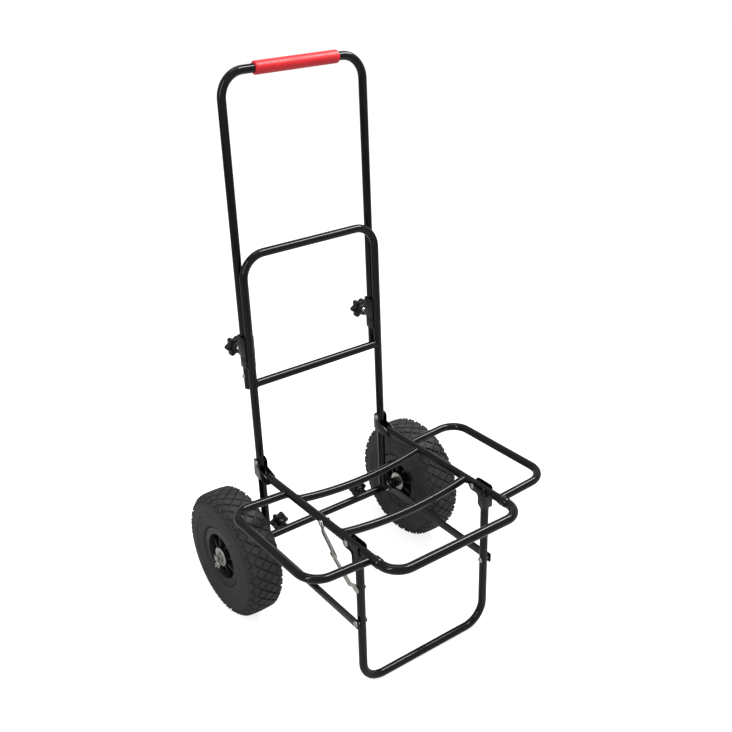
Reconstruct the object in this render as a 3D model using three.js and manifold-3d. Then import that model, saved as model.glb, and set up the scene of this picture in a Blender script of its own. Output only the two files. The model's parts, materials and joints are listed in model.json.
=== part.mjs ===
// A folding fishing trolley of bent steel tube. Two wheels turn on stub axles in a cross tube,
// a U-shaped back frame stands on that tube, and a handle slides down behind it. The load platform
// folds up against the back frame and brings its front leg with it, held parallel by two flat braces
// and locked by a two-link stay on the left.
//
// Millimetres and degrees. +Z is up, the platform reaches towards -Y, and X runs across the trolley.
// "Left" is the -X side, as seen from in front of the platform. The origin is on the ground, under
// the middle of the whole trolley.

import * as THREE from 'three';
import { mergeVertices } from 'three/addons/utils/BufferGeometryUtils.js';
import Module from 'manifold-3d';

const wasm = await Module();
wasm.setup();

// Fits that every joint shares.
const SEAT_GAP = 0.3;
const RUNNING_GAP = 0.5;
const OVERRUN = 6;
const WELD_TOLERANCE = 0.0005;

// Tube and sheet stock.
const TUBE_RADIUS = 8;
const TUBE_WALL = 1.2;
const SHEET = 2;
const FRAME_BEND = 45;
const TUBE_SIDES = 10;
const SMALL_SIDES = 8;
const ROUND_SIDES = 12;
const WHEEL_SIDES = 17;
const QUARTER_BEND_RINGS = 4;

// Back frame, leaning back from the axle.
const FRAME_HALF_WIDTH = 149;
const BACK_LEAN = 5.9;
const BACK_HEIGHT = 601;
const BACK_BAR_HEIGHT = 347.5;

// Handle, which slides behind the back frame in two clamps.
const HANDLE_SET_BACK = 18.5;
const HANDLE_TOP = 923;
const HANDLE_BELOW_CLAMP = 46;
const GRIP_RADIUS = 12;
const GRIP_INSET = 16;
const GRIP_SHIFT = 6;
const GRIP_ROUNDING = 3;
const PLUG_CAP = 2;
const PLUG_DEPTH = 12;
const STOP_BOLT_RISE = 25;
const STOP_BOLT_RADIUS = 4.5;
const STOP_BOLT_HEAD = 3.5;
const STOP_BOLT_SHANK = 2.5;
const CLAMP_KNOB_HEIGHT = 408;
const CLAMP_BELOW_KNOB = 27;
const CLAMP_LENGTH = 63;
const CLAMP_LAP = 7.5;

// Star knobs with their clamp screws.
const SCREW_RADIUS = 4;
const NUT_RADIUS = 8;
const NUT_HEIGHT = 6;
const NUT_SIDES = 6;
const KNOB_RADIUS = 20;
const KNOB_LOBES = 6;
const KNOB_LOBE_DEPTH = 2.8;
const KNOB_LOBE_POINTS = 4;
const KNOB_HEAD = 14;
const KNOB_EDGE = 2;
const KNOB_BOSS_RADIUS = 10;
const KNOB_BOSS = 7;
const CLAMP_SCREW_SHOWING = 12;

// Axle line and wheels.
const WHEEL_RADIUS = 130;
const WHEEL_OUTSET = 75;
const TYRE_WIDTH = 80;
const AXLE_RADIUS = 6;
const AXLE_IN_TUBE = 83;
const AXLE_PAST_HUB = 10.5;
const AXLE_TIP_CHAMFER = 1.5;
const AXLE_COLLAR_RADIUS = 11;
const AXLE_CLAMP_INSET = 55;
const AXLE_SCREW_SHOWING = 3;
const HUB_LENGTH = 71;
const HUB_RADIUS = 19;
const BEARING_RADIUS = 13;
const BEARING_DEPTH = 12;
const BEARING_FLANGE_RADIUS = 20;
const WASHER_RADIUS = 12;
const WASHER_THICKNESS = 2.2;
const PIN_WIRE = 1.4;
const PIN_PAST_HUB = 6.1;
const PIN_LOOP_RADIUS = 5;
const PIN_LOOP_REACH = 12;
const PIN_PRONG = 6;
const PIN_BEND = 2.2;
const RIM_WIDTH = 68;
const RIM_FLANGE_RADIUS = 62;
const RIM_SEAT_RADIUS = 52;
const RIM_WALL = 3.5;
const RIM_SIDES = 20;
const SPOKES = 8;
const SPOKE_THICKNESS = 5;
const SPOKE_INSET = 4;
const RIM_WEB = 6;
const TYRE_WALL = 5;
const TREAD_DEPTH = 3;
// Blocks around the tyre in each row, two for each side of the wall below them.
const TREAD_COLUMNS = 2 * WHEEL_SIDES;
const TREAD_GROOVE_SHARE = 0.17;
const SHOULDER_LUG_SHARE = 0.7;
// Places on the tyre's half section: across from its middle, and up from the rim's lip to the tread.
const TREAD_LINE_SHARES = [[0, 1], [0.34, 0.996], [0.675, 0.978], [0.9, 0.856]];
const TYRE_SIDE_SHARES = [[1, 0.56], [0.92, 0.05]];
const TYRE_LINING_SHARES = [[0.97, 0.45], [0.77, 0.97]];

// Platform, square to the back frame within a degree.
const RAIL_HEIGHT = 285.5;
const PLATFORM_RISE = 4.95;
const RAIL_START = 8;
const FRONT_BAR_AHEAD = 125.6;
const FRONT_BAR_RADIUS = 9;
const FRONT_BEND = 38;
const COLLAR_RADIUS = 10.2;
const COLLAR_LENGTH = 16;
const COLLAR_NECK = 2.5;
const COLLAR_PAST_WING = 1.5;
const REAR_SLAT_REACH = 114;
const FRONT_SLAT_BEHIND = 30;
const SLAT_SAG = 15.6;
const SLAT_SPANS = 5;
const WING_SPREAD = 126;
const WING_REAR_REACH = 79;
const WING_AHEAD = 62;
const WING_BEND = 40;
const WING_RISE = 3;

// Platform hinge, on the back frame above the axle.
const HINGE_RISE = 21.67;
const HINGE_EAR = 9.7;
const HINGE_FOOT_REACH = 22;
const HINGE_FOOT_TOP = 5;
const HINGE_THROAT = 4;
const RIVET_RADIUS = 4;
const RIVET_HEAD_RADIUS = 6.5;
const RIVET_HEAD = 2.5;
const RIVET_TAIL_RADIUS = 5.5;
const DOME_TOP_SHARE = 0.6;

// Leg, hinged under the rails.
const LEG_HINGE_REACH = 286;
const LEG_SET_AHEAD = 26;
const LEG_EAR = 10.5;
const LEG_SHORT = 1.2;
const LEG_PLATE_TOP = 4.5;
const LEG_PLATE_DROP = 36;
const LEG_PLATE_TAPER = 5;

// Braces, from the axle to the leg.
const BRACE_DROP = 160.5;
const BRACE_WIDTH = 16;
const BRACE_THICKNESS = 3;
const BRACE_STANDOFF = 3;

// Stay on the left, two links with a jog in the lower one.
const STAY_TOP_BEHIND = 79;
const STAY_KNEE_BEHIND = 32;
const STAY_KNEE_DROP = 44.5;
const STAY_FOOT_DROP = 86;
const STAY_THICKNESS = 2;
const UPPER_LINK_WIDTH = 12;
const LOWER_LINK_WIDTH = 14;
const UPPER_LINK_STANDOFF = 3.7;
const LOWER_LINK_STANDOFF = 0.8;
const JOG_START_SHARE = 0.62;
const JOG_END_SHARE = 0.8;
const STAY_RIVET_RADIUS = 3;
const STAY_RIVET_HEAD_RADIUS = 5;
const STAY_RIVET_HEAD = 2;

const radians = THREE.MathUtils.degToRad;
const vector = (x, y, z) => new THREE.Vector3(x, y, z);

// Places across the trolley, worked out from the side tubes.
const OUTER_FACE = FRAME_HALF_WIDTH + TUBE_RADIUS;
const INNER_FACE = FRAME_HALF_WIDTH - TUBE_RADIUS;
const TUBE_BORE = TUBE_RADIUS - TUBE_WALL;
const WHEEL_PLANE = FRAME_HALF_WIDTH + WHEEL_OUTSET;
const HUB_INNER = WHEEL_PLANE - HUB_LENGTH / 2;
const HUB_OUTER = WHEEL_PLANE + HUB_LENGTH / 2;
const AXLE_INSET = OUTER_FACE - AXLE_IN_TUBE;
const AXLE_CLAMP_PLACE = OUTER_FACE - AXLE_CLAMP_INSET;
const AXLE_END = HUB_OUTER + AXLE_PAST_HUB;
const PIN_PLACE = HUB_OUTER + PIN_PAST_HUB;
const BRACE_FACE = OUTER_FACE + BRACE_STANDOFF;
const UPPER_LINK_FACE = OUTER_FACE + UPPER_LINK_STANDOFF;
const LOWER_LINK_FOOT_FACE = OUTER_FACE + LOWER_LINK_STANDOFF;
const WING_HALF_WIDTH = FRAME_HALF_WIDTH + WING_SPREAD;

// Places along the platform, worked out from the leg's hinge.
const FRONT_BAR_REACH = LEG_HINGE_REACH + FRONT_BAR_AHEAD;
const WING_FRONT_REACH = LEG_HINGE_REACH + WING_AHEAD;
const FRONT_SLAT_REACH = LEG_HINGE_REACH - FRONT_SLAT_BEHIND;
const STAY_TOP_REACH = LEG_HINGE_REACH - STAY_TOP_BEHIND;
const STAY_KNEE_REACH = LEG_HINGE_REACH - STAY_KNEE_BEHIND;
const COLLAR_START = WING_FRONT_REACH + TUBE_RADIUS + COLLAR_PAST_WING;
const RAIL_END = COLLAR_START + COLLAR_LENGTH - COLLAR_NECK;

// Places along the back frame: the clamp hangs from its knob's height, and the handle's foot from the
// clamp, and the hinge pin stands above the rails.
const CLAMP_FOOT = CLAMP_KNOB_HEIGHT - CLAMP_BELOW_KNOB;
const HANDLE_FOOT = CLAMP_FOOT - HANDLE_BELOW_CLAMP;
const STOP_BOLT_HEIGHT = HANDLE_FOOT + STOP_BOLT_RISE;
const HINGE_HEIGHT = (RAIL_HEIGHT - WHEEL_RADIUS) / Math.cos(radians(BACK_LEAN)) + HINGE_RISE;
const HINGE_BORE = RIVET_RADIUS + SEAT_GAP;
const SIDES = [['left', -1], ['right', 1]];

const black = (roughness) => new THREE.MeshStandardMaterial({ color: 0x121214, roughness, metalness: 0.35 });
const powderCoat = black(0.3);
const zinc = new THREE.MeshStandardMaterial({ color: 0xb9b8b2, roughness: 0.35, metalness: 0.9 });
const redFoam = new THREE.MeshStandardMaterial({ color: 0xd8141c, roughness: 0.6, metalness: 0 });
const blackPlastic = new THREE.MeshStandardMaterial({ color: 0x17171a, roughness: 0.5, metalness: 0 });
const rubber = new THREE.MeshStandardMaterial({ color: 0x2a2a2c, roughness: 0.85, metalness: 0 });

// A many-sided bore or cutter is drawn this much larger, so that its flats clear a round piece.
const flatsClear = (radius, sides = TUBE_SIDES) => radius / Math.cos(Math.PI / sides);

// Bare triangles with shared corners, facing out.
function closed(geometry) {
  const bare = new THREE.BufferGeometry();
  bare.setAttribute('position', geometry.attributes.position.clone());
  if (geometry.index) {
    bare.setIndex(geometry.index.clone());
  }
  const merged = mergeVertices(bare, WELD_TOLERANCE);
  const kept = [];
  let volume = 0;
  const corners = [vector(), vector(), vector()];
  for (let i = 0; i < merged.index.count; i += 3) {
    const [a, b, c] = [merged.index.getX(i), merged.index.getX(i + 1), merged.index.getX(i + 2)];
    if (a === b || b === c || c === a) {
      continue;
    }
    kept.push(a, b, c);
    [a, b, c].forEach((at, k) => corners[k].fromBufferAttribute(merged.attributes.position, at));
    volume += corners[0].dot(corners[1].cross(corners[2]));
  }
  if (volume < 0) {
    for (let i = 0; i < kept.length; i += 3) {
      [kept[i + 1], kept[i + 2]] = [kept[i + 2], kept[i + 1]];
    }
  }
  merged.setIndex(kept);
  return merged;
}

function solid(geometry) {
  const shell = closed(geometry);
  return new wasm.Manifold(new wasm.Mesh({
    numProp: 3,
    vertProperties: new Float32Array(shell.attributes.position.array),
    triVerts: new Uint32Array(shell.index.array),
  }));
}

function surface(body) {
  const mesh = body.getMesh();
  const geometry = new THREE.BufferGeometry();
  geometry.setAttribute('position', new THREE.BufferAttribute(new Float32Array(mesh.vertProperties), 3));
  geometry.setIndex(new THREE.BufferAttribute(new Uint32Array(mesh.triVerts), 1));
  return geometry;
}

function joined(first, ...others) {
  return surface(others.reduce((body, other) => body.add(solid(other)), solid(first)));
}

function cut(base, ...tools) {
  return surface(tools.reduce((body, tool) => body.subtract(solid(tool)), solid(base)));
}

function common(first, second) {
  return surface(solid(first).intersect(solid(second)));
}

// The same piece for the other side of the trolley.
function onSide(geometry, side) {
  const shell = closed(geometry);
  return side > 0 ? shell : closed(shell.applyMatrix4(new THREE.Matrix4().makeScale(-1, 1, 1)));
}

function piece(parent, name, geometry, finish) {
  const shell = closed(geometry).toNonIndexed();
  shell.computeVertexNormals();
  const mesh = new THREE.Mesh(shell, finish);
  mesh.name = name;
  parent.add(mesh);
  return mesh;
}

// A route through given ring centres, so that a straight run needs no rings between its ends.
class RingRoute extends THREE.Curve {
  constructor(rings) {
    super();
    this.rings = rings;
  }

  getPoint(share, target = vector()) {
    return target.copy(this.rings[Math.round(share * (this.rings.length - 1))]);
  }

  getPointAt(share, target) {
    return this.getPoint(share, target);
  }

  getTangentAt(share, target = vector()) {
    const last = this.rings.length - 1;
    const at = Math.round(share * last);
    const before = this.rings[Math.max(at - 1, 0)];
    const after = this.rings[Math.min(at + 1, last)];
    const here = this.rings[at];
    const arriving = here.clone().sub(before).normalize();
    const leaving = after.clone().sub(here).normalize();
    return target.copy(arriving).add(leaving).normalize();
  }
}

// Ring centres along a bent tube: straight runs with a circular bend at each inner corner.
function bentRings(corners, bend, quarterRings = QUARTER_BEND_RINGS) {
  const rings = [corners[0]];
  for (let i = 1; i < corners.length - 1; i += 1) {
    const corner = corners[i];
    const behind = corners[i - 1].clone().sub(corner).normalize();
    const ahead = corners[i + 1].clone().sub(corner).normalize();
    const turn = Math.PI - behind.angleTo(ahead);
    const reach = bend * Math.tan(turn / 2);
    const inward = behind.clone().add(ahead).normalize();
    const centre = corner.clone().addScaledVector(inward, bend / Math.cos(turn / 2));
    const spoke = corner.clone().addScaledVector(behind, reach).sub(centre);
    const lastSpoke = corner.clone().addScaledVector(ahead, reach).sub(centre);
    const axis = spoke.clone().cross(lastSpoke).normalize();
    const count = Math.max(1, Math.round(quarterRings * turn / (Math.PI / 2)));
    for (let k = 0; k <= count; k += 1) {
      rings.push(spoke.clone().applyAxisAngle(axis, turn * k / count).add(centre));
    }
  }
  rings.push(corners[corners.length - 1]);
  return rings;
}

function circlePoints(radius, sides) {
  return Array.from({ length: sides }, (_, k) => {
    const angle = 2 * Math.PI * (k + 0.5) / sides;
    return new THREE.Vector2(radius * Math.cos(angle), radius * Math.sin(angle));
  });
}

function tube(rings, radius, bore, sides = TUBE_SIDES) {
  const section = new THREE.Shape(circlePoints(radius, sides));
  if (bore > 0) {
    section.holes.push(new THREE.Path(circlePoints(bore, sides)));
  }
  return new THREE.ExtrudeGeometry(section, { steps: rings.length - 1, extrudePath: new RingRoute(rings) });
}

const frameTube = (corners, bend = FRAME_BEND) => tube(bentRings(corners, bend), TUBE_RADIUS, TUBE_BORE);
const rod = (radius, from, to, sides = TUBE_SIDES) => tube([from, to], radius, 0, sides);
const clearRod = (radius, from, to) => rod(flatsClear(radius + SEAT_GAP), from, to);

// A hole through a side tube or plate, along X, at a place in the side view.
const crossHole = (radius, y, z, from = INNER_FACE - OVERRUN, to = OUTER_FACE + OVERRUN) => (
  rod(flatsClear(radius, SMALL_SIDES), vector(from, y, z), vector(to, y, z), SMALL_SIDES));

// A body of revolution about X, from [place along X, radius] pairs that close on themselves.
function turned(profile, segments = ROUND_SIDES) {
  const points = profile.map(([x, radius]) => new THREE.Vector2(Math.max(radius, 0), x));
  const lathe = new THREE.LatheGeometry([...points, points[0]], segments);
  return lathe.rotateZ(-Math.PI / 2);
}

// A flat plate in the side view, from an outline of [y, z] pairs or a Shape, between two X places.
function sidePlate(outline, from, to) {
  const shape = Array.isArray(outline)
    ? new THREE.Shape(outline.map(([y, z]) => new THREE.Vector2(y, z)))
    : outline;
  const plain = { depth: to - from, bevelEnabled: false, curveSegments: ROUND_SIDES / 2 };
  const plate = new THREE.ExtrudeGeometry(shape, plain);
  const sideView = new THREE.Matrix4().makeBasis(vector(0, 1, 0), vector(0, 0, 1), vector(1, 0, 0));
  return plate.applyMatrix4(sideView).translate(from, 0, 0);
}

// Points on an arc in the side view, from one angle to another, in degrees from +Y towards +Z.
function arcPoints(y, z, radius, fromAngle, toAngle, count) {
  return Array.from({ length: count + 1 }, (_, k) => {
    const angle = radians(fromAngle + (toAngle - fromAngle) * k / count);
    return [y + radius * Math.cos(angle), z + radius * Math.sin(angle)];
  });
}

// A rivet or shoulder pin along X: a domed head outside, a shank, and a tail inside if it has one.
function rivet({ from, face, shank, head, headHeight, tail = 0, tailHeight = 0 }) {
  const profile = [
    [face + headHeight, 0],
    [face + headHeight, head * DOME_TOP_SHARE],
    [face + headHeight * DOME_TOP_SHARE, head],
    [face, head],
    [face, shank],
    [from, shank],
  ];
  if (tail > 0) {
    profile.push([from, tail], [from - tailHeight, tail * DOME_TOP_SHARE]);
  }
  profile.push([from - tailHeight, 0]);
  return turned(profile, SMALL_SIDES);
}

// Star knob on its screw: the screw's tip is at the origin and the knob is towards +Y.
function clampKnob(screwLength) {
  const count = KNOB_LOBES * KNOB_LOBE_POINTS;
  const middle = KNOB_RADIUS - KNOB_LOBE_DEPTH - KNOB_EDGE;
  const outline = Array.from({ length: count }, (_, k) => {
    const angle = 2 * Math.PI * k / count;
    const radius = middle + KNOB_LOBE_DEPTH * Math.cos(KNOB_LOBES * angle);
    return new THREE.Vector2(radius * Math.cos(angle), radius * Math.sin(angle));
  });
  const bevel = { bevelThickness: KNOB_EDGE, bevelSize: KNOB_EDGE, bevelSegments: 1 };
  const head = new THREE.ExtrudeGeometry(new THREE.Shape(outline), { depth: KNOB_HEAD - 2 * KNOB_EDGE, ...bevel });
  head.rotateX(-Math.PI / 2).translate(0, screwLength + KNOB_BOSS + KNOB_EDGE, 0);
  const bossStart = vector(0, screwLength, 0);
  const bossEnd = vector(0, screwLength + KNOB_BOSS + KNOB_EDGE, 0);
  const screw = rod(SCREW_RADIUS, vector(0, 0, 0), bossEnd, SMALL_SIDES);
  return joined(head, rod(KNOB_BOSS_RADIUS, bossStart, bossEnd), screw);
}

const clampScrewHole = (from, to) => (
  rod(flatsClear(SCREW_RADIUS + SEAT_GAP, SMALL_SIDES), from, to, SMALL_SIDES));
const weldNut = (from, to) => rod(NUT_RADIUS, from, to, NUT_SIDES);

// Everything below is placed in three frames: the trolley on the ground with its axle above the
// origin, the back frame leaning from that axle, and the platform rising from its rails.
const trolley = new THREE.Group();
const back = new THREE.Group();
back.position.set(0, 0, WHEEL_RADIUS);
back.rotation.x = -radians(BACK_LEAN);
const handle = new THREE.Group();
handle.position.set(0, HANDLE_SET_BACK, 0);
const platform = new THREE.Group();
platform.position.set(0, 0, RAIL_HEIGHT);
platform.rotation.x = -radians(PLATFORM_RISE);
const leg = new THREE.Group();
leg.position.set(0, -LEG_HINGE_REACH, 0);
trolley.add(back, platform);
back.add(handle);
platform.add(leg);
trolley.updateMatrixWorld(true);

// Where a point of one frame lies in another.
const between = (from, to, point) => to.worldToLocal(from.localToWorld(point.clone()));

const hingePin = between(back, platform, vector(0, 0, HINGE_HEIGHT));
const uprightAtRail = between(back, platform, vector(0, 0, HINGE_HEIGHT - hingePin.z));
const braceFoot = between(platform, trolley, vector(0, -LEG_HINGE_REACH - LEG_SET_AHEAD, -BRACE_DROP));

function buildBackFrame() {
  const uprightFeet = [vector(-FRAME_HALF_WIDTH, 0, 0), vector(FRAME_HALF_WIDTH, 0, 0)];
  const uprightTops = uprightFeet.map((foot) => foot.clone().setZ(BACK_HEIGHT));
  const loop = frameTube([uprightFeet[0], uprightTops[0], uprightTops[1], uprightFeet[1]]);
  const seat = clearRod(TUBE_RADIUS, vector(-OUTER_FACE - OVERRUN, 0, 0), vector(OUTER_FACE + OVERRUN, 0, 0));
  const pinHoles = crossHole(HINGE_BORE, 0, HINGE_HEIGHT, -OUTER_FACE - OVERRUN);
  piece(back, 'back_frame', cut(loop, seat, pinHoles), powderCoat);

  const [barLeft, barRight] = uprightFeet.map((foot) => foot.clone().setZ(BACK_BAR_HEIGHT));
  const copes = uprightFeet.map((foot, k) => clearRod(TUBE_RADIUS, foot, uprightTops[k]));
  piece(back, 'back_crossbar', cut(frameTube([barLeft, barRight]), ...copes), powderCoat);
}

function buildHandle() {
  const feet = [vector(-FRAME_HALF_WIDTH, 0, HANDLE_FOOT), vector(FRAME_HALF_WIDTH, 0, HANDLE_FOOT)];
  const tops = feet.map((foot) => foot.clone().setZ(HANDLE_TOP));
  const boltHole = (side) => crossHole(
    STOP_BOLT_SHANK + SEAT_GAP,
    0,
    STOP_BOLT_HEIGHT,
    side * FRAME_HALF_WIDTH,
    side * (OUTER_FACE + OVERRUN),
  );
  const loop = frameTube([feet[0], tops[0], tops[1], feet[1]]);
  piece(handle, 'handle_frame', cut(loop, boltHole(-1), boltHole(1)), powderCoat);

  const gripBore = flatsClear(TUBE_RADIUS + SEAT_GAP, ROUND_SIDES);
  const gripHalf = FRAME_HALF_WIDTH - FRAME_BEND - GRIP_INSET;
  const gripFrom = GRIP_SHIFT - gripHalf;
  const gripTo = GRIP_SHIFT + gripHalf;
  const grip = turned([
    [gripFrom, gripBore],
    [gripFrom, GRIP_RADIUS - GRIP_ROUNDING],
    [gripFrom + GRIP_ROUNDING, GRIP_RADIUS],
    [gripTo - GRIP_ROUNDING, GRIP_RADIUS],
    [gripTo, GRIP_RADIUS - GRIP_ROUNDING],
    [gripTo, gripBore],
  ]);
  piece(handle, 'handle_grip', grip.translate(0, 0, HANDLE_TOP), redFoam);

  const plugStem = TUBE_BORE * Math.cos(Math.PI / TUBE_SIDES) - SEAT_GAP;
  const plugProfile = [
    [-SEAT_GAP - PLUG_CAP, 0],
    [-SEAT_GAP - PLUG_CAP, TUBE_RADIUS - PLUG_CAP / 2],
    [-SEAT_GAP - PLUG_CAP / 2, TUBE_RADIUS],
    [-SEAT_GAP, TUBE_RADIUS],
    [-SEAT_GAP, plugStem],
    [PLUG_DEPTH, plugStem],
    [PLUG_DEPTH, 0],
  ];
  for (const [name, side] of SIDES) {
    const plug = turned(plugProfile, TUBE_SIDES).rotateY(-Math.PI / 2);
    plug.translate(side * FRAME_HALF_WIDTH, 0, HANDLE_FOOT);
    piece(handle, `handle_plug_${name}`, plug, blackPlastic);
    const bolt = rivet({
      from: OUTER_FACE - 2 * TUBE_WALL,
      face: OUTER_FACE + SEAT_GAP,
      shank: STOP_BOLT_SHANK,
      head: STOP_BOLT_RADIUS,
      headHeight: STOP_BOLT_HEAD,
    });
    piece(handle, `handle_stop_bolt_${name}`, onSide(bolt.translate(0, 0, STOP_BOLT_HEIGHT), side), zinc);
  }
}

// Channel that holds the handle against the upright, with a weld nut for the clamp screw.
function buildHandleClamps() {
  const inside = TUBE_RADIUS + SEAT_GAP;
  const outside = inside + SHEET;
  const lip = TUBE_RADIUS - CLAMP_LAP;
  const floor = HANDLE_SET_BACK + inside;
  const outline = [
    [-outside, lip], [-inside, lip], [-inside, floor], [inside, floor], [inside, lip], [outside, lip],
    [outside, floor], [outside - SHEET, floor + SHEET], [SHEET - outside, floor + SHEET], [-outside, floor],
  ];
  const section = new THREE.Shape(outline.map(([x, y]) => new THREE.Vector2(x, y)));
  const nutFace = floor + SHEET + NUT_HEIGHT;
  const screwTip = HANDLE_SET_BACK + TUBE_RADIUS + SEAT_GAP;
  for (const [name, side] of SIDES) {
    const channel = new THREE.ExtrudeGeometry(section, { depth: CLAMP_LENGTH, bevelEnabled: false });
    channel.translate(0, 0, CLAMP_FOOT);
    const nut = weldNut(vector(0, floor + SHEET / 2, CLAMP_KNOB_HEIGHT), vector(0, nutFace, CLAMP_KNOB_HEIGHT));
    const hole = clampScrewHole(
      vector(0, floor - OVERRUN, CLAMP_KNOB_HEIGHT),
      vector(0, nutFace + OVERRUN, CLAMP_KNOB_HEIGHT),
    );
    const clamp = cut(joined(channel, nut), hole).translate(side * FRAME_HALF_WIDTH, 0, 0);
    piece(back, `handle_clamp_${name}`, clamp, powderCoat);
    const knob = clampKnob(nutFace - screwTip + CLAMP_SCREW_SHOWING);
    knob.translate(side * FRAME_HALF_WIDTH, screwTip, CLAMP_KNOB_HEIGHT);
    piece(back, `handle_knob_${name}`, knob, blackPlastic);
  }
}

// Cross tube that the uprights stand on, with the stub axles clamped inside it.
function buildAxleTube() {
  const end = vector(OUTER_FACE, 0, WHEEL_RADIUS);
  const start = end.clone().setX(-OUTER_FACE);
  const boreStart = start.clone().setX(-OUTER_FACE - OVERRUN);
  const boreEnd = end.clone().setX(OUTER_FACE + OVERRUN);
  const nutFace = TUBE_RADIUS + NUT_HEIGHT;
  const nutPlaces = SIDES.map(([, side]) => side * AXLE_CLAMP_PLACE);
  const nuts = nutPlaces.map((x) => weldNut(vector(x, TUBE_BORE, WHEEL_RADIUS), vector(x, nutFace, WHEEL_RADIUS)));
  const holes = nutPlaces.map((x) => (
    clampScrewHole(vector(x, 0, WHEEL_RADIUS), vector(x, nutFace + OVERRUN, WHEEL_RADIUS))));
  const outside = joined(rod(TUBE_RADIUS, start, end), ...nuts);
  piece(trolley, 'axle_tube', cut(outside, rod(TUBE_BORE, boreStart, boreEnd), ...holes), powderCoat);

  const screwTip = AXLE_RADIUS + SEAT_GAP;
  for (const [name, side] of SIDES) {
    const knob = clampKnob(nutFace - screwTip + AXLE_SCREW_SHOWING);
    knob.translate(side * AXLE_CLAMP_PLACE, screwTip, WHEEL_RADIUS);
    piece(trolley, `axle_knob_${name}`, knob, blackPlastic);
  }
}

// Stub axle, spacer, washer and split pin on each side.
function buildAxles() {
  const collarFrom = OUTER_FACE + SEAT_GAP;
  const collarTo = BRACE_FACE - SEAT_GAP;
  const spacerBore = flatsClear(AXLE_RADIUS + SEAT_GAP, ROUND_SIDES);
  const spacerFrom = BRACE_FACE + BRACE_THICKNESS + SEAT_GAP;
  const washerFrom = HUB_OUTER + SEAT_GAP;
  const pinHole = rod(
    flatsClear(PIN_WIRE + SEAT_GAP, NUT_SIDES),
    vector(PIN_PLACE, 0, -AXLE_RADIUS - OVERRUN),
    vector(PIN_PLACE, 0, AXLE_RADIUS + OVERRUN),
    NUT_SIDES,
  );
  const shaft = turned([
    [AXLE_INSET, 0], [AXLE_INSET, AXLE_RADIUS], [collarFrom, AXLE_RADIUS], [collarFrom, AXLE_COLLAR_RADIUS],
    [collarTo, AXLE_COLLAR_RADIUS], [collarTo, AXLE_RADIUS], [AXLE_END - AXLE_TIP_CHAMFER, AXLE_RADIUS],
    [AXLE_END, AXLE_RADIUS - AXLE_TIP_CHAMFER], [AXLE_END, 0],
  ], TUBE_SIDES);
  const axle = cut(shaft, pinHole);
  const sleeve = (from, to, radius) => turned([[from, spacerBore], [from, radius], [to, radius], [to, spacerBore]]);
  const spacer = sleeve(spacerFrom, HUB_INNER - SEAT_GAP, AXLE_COLLAR_RADIUS);
  const washer = sleeve(washerFrom, washerFrom + WASHER_THICKNESS, WASHER_RADIUS);
  const pin = splitPin();
  for (const [name, side] of SIDES) {
    const stack = new THREE.Group();
    stack.position.set(0, 0, WHEEL_RADIUS);
    trolley.add(stack);
    piece(stack, `stub_axle_${name}`, onSide(axle, side), zinc);
    piece(stack, `axle_spacer_${name}`, onSide(spacer, side), blackPlastic);
    piece(stack, `axle_washer_${name}`, onSide(washer, side), zinc);
    piece(stack, `split_pin_${name}`, onSide(pin, side), zinc);
  }
}

// A loop of wire below the axle, one leg up through the cross hole and a prong turned out at the top.
function splitPin() {
  const top = AXLE_RADIUS + 2 * PIN_WIRE;
  const loopTop = -AXLE_RADIUS - PIN_WIRE;
  const corners = [
    vector(PIN_PLACE + PIN_PRONG, 0, top + PIN_WIRE),
    vector(PIN_PLACE, 0, top),
    vector(PIN_PLACE, 0, loopTop),
    vector(PIN_PLACE, -PIN_LOOP_RADIUS, loopTop - PIN_LOOP_REACH / 2),
    vector(PIN_PLACE, 0, loopTop - PIN_LOOP_REACH),
    vector(PIN_PLACE, PIN_LOOP_RADIUS, loopTop - PIN_LOOP_REACH / 2),
  ];
  return tube(bentRings(corners, PIN_BEND, 1), PIN_WIRE, 0, NUT_SIDES);
}

// Wheel pieces, turned about the X axis with the wheel's middle plane at the origin.
function rimGeometry() {
  const edge = RIM_WIDTH / 2;
  const flangeFrom = edge - RIM_WALL;
  const bore = RIM_SEAT_RADIUS - RIM_WALL;
  const channel = turned([
    [edge, bore], [edge, RIM_FLANGE_RADIUS], [flangeFrom, RIM_FLANGE_RADIUS], [flangeFrom, RIM_SEAT_RADIUS],
    [-flangeFrom, RIM_SEAT_RADIUS], [-flangeFrom, RIM_FLANGE_RADIUS], [-edge, RIM_FLANGE_RADIUS], [-edge, bore],
  ], RIM_SIDES);
  const hubHalf = HUB_LENGTH / 2 - SHEET - SEAT_GAP;
  const hubBore = flatsClear(BEARING_RADIUS + SEAT_GAP, ROUND_SIDES);
  const hub = turned([
    [-hubHalf, hubBore], [-hubHalf, HUB_RADIUS], [hubHalf, HUB_RADIUS], [hubHalf, hubBore],
  ], ROUND_SIDES);
  const inHub = (HUB_RADIUS + hubBore) / 2;
  const inChannel = RIM_SEAT_RADIUS - RIM_WALL / 2;
  const disc = (half) => [[-half, inHub], [-half, inChannel], [half, inChannel], [half, inHub]];
  const web = turned(disc(RIM_WEB / 2), RIM_SIDES);
  const spokeOutline = [
    [SPOKE_INSET - hubHalf, inHub], [RIM_WALL - flangeFrom, inChannel],
    [flangeFrom - RIM_WALL, inChannel], [hubHalf - SPOKE_INSET, inHub],
  ];
  const spokeShape = new THREE.Shape(spokeOutline.map(([x, radius]) => new THREE.Vector2(x, radius)));
  const spokes = Array.from({ length: SPOKES }, (_, k) => {
    const spoke = new THREE.ExtrudeGeometry(spokeShape, { depth: SPOKE_THICKNESS, bevelEnabled: false });
    return spoke.translate(0, 0, -SPOKE_THICKNESS / 2).rotateX(2 * Math.PI * (k + 0.5) / SPOKES);
  });
  return joined(channel, hub, web, ...spokes);
}

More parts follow.
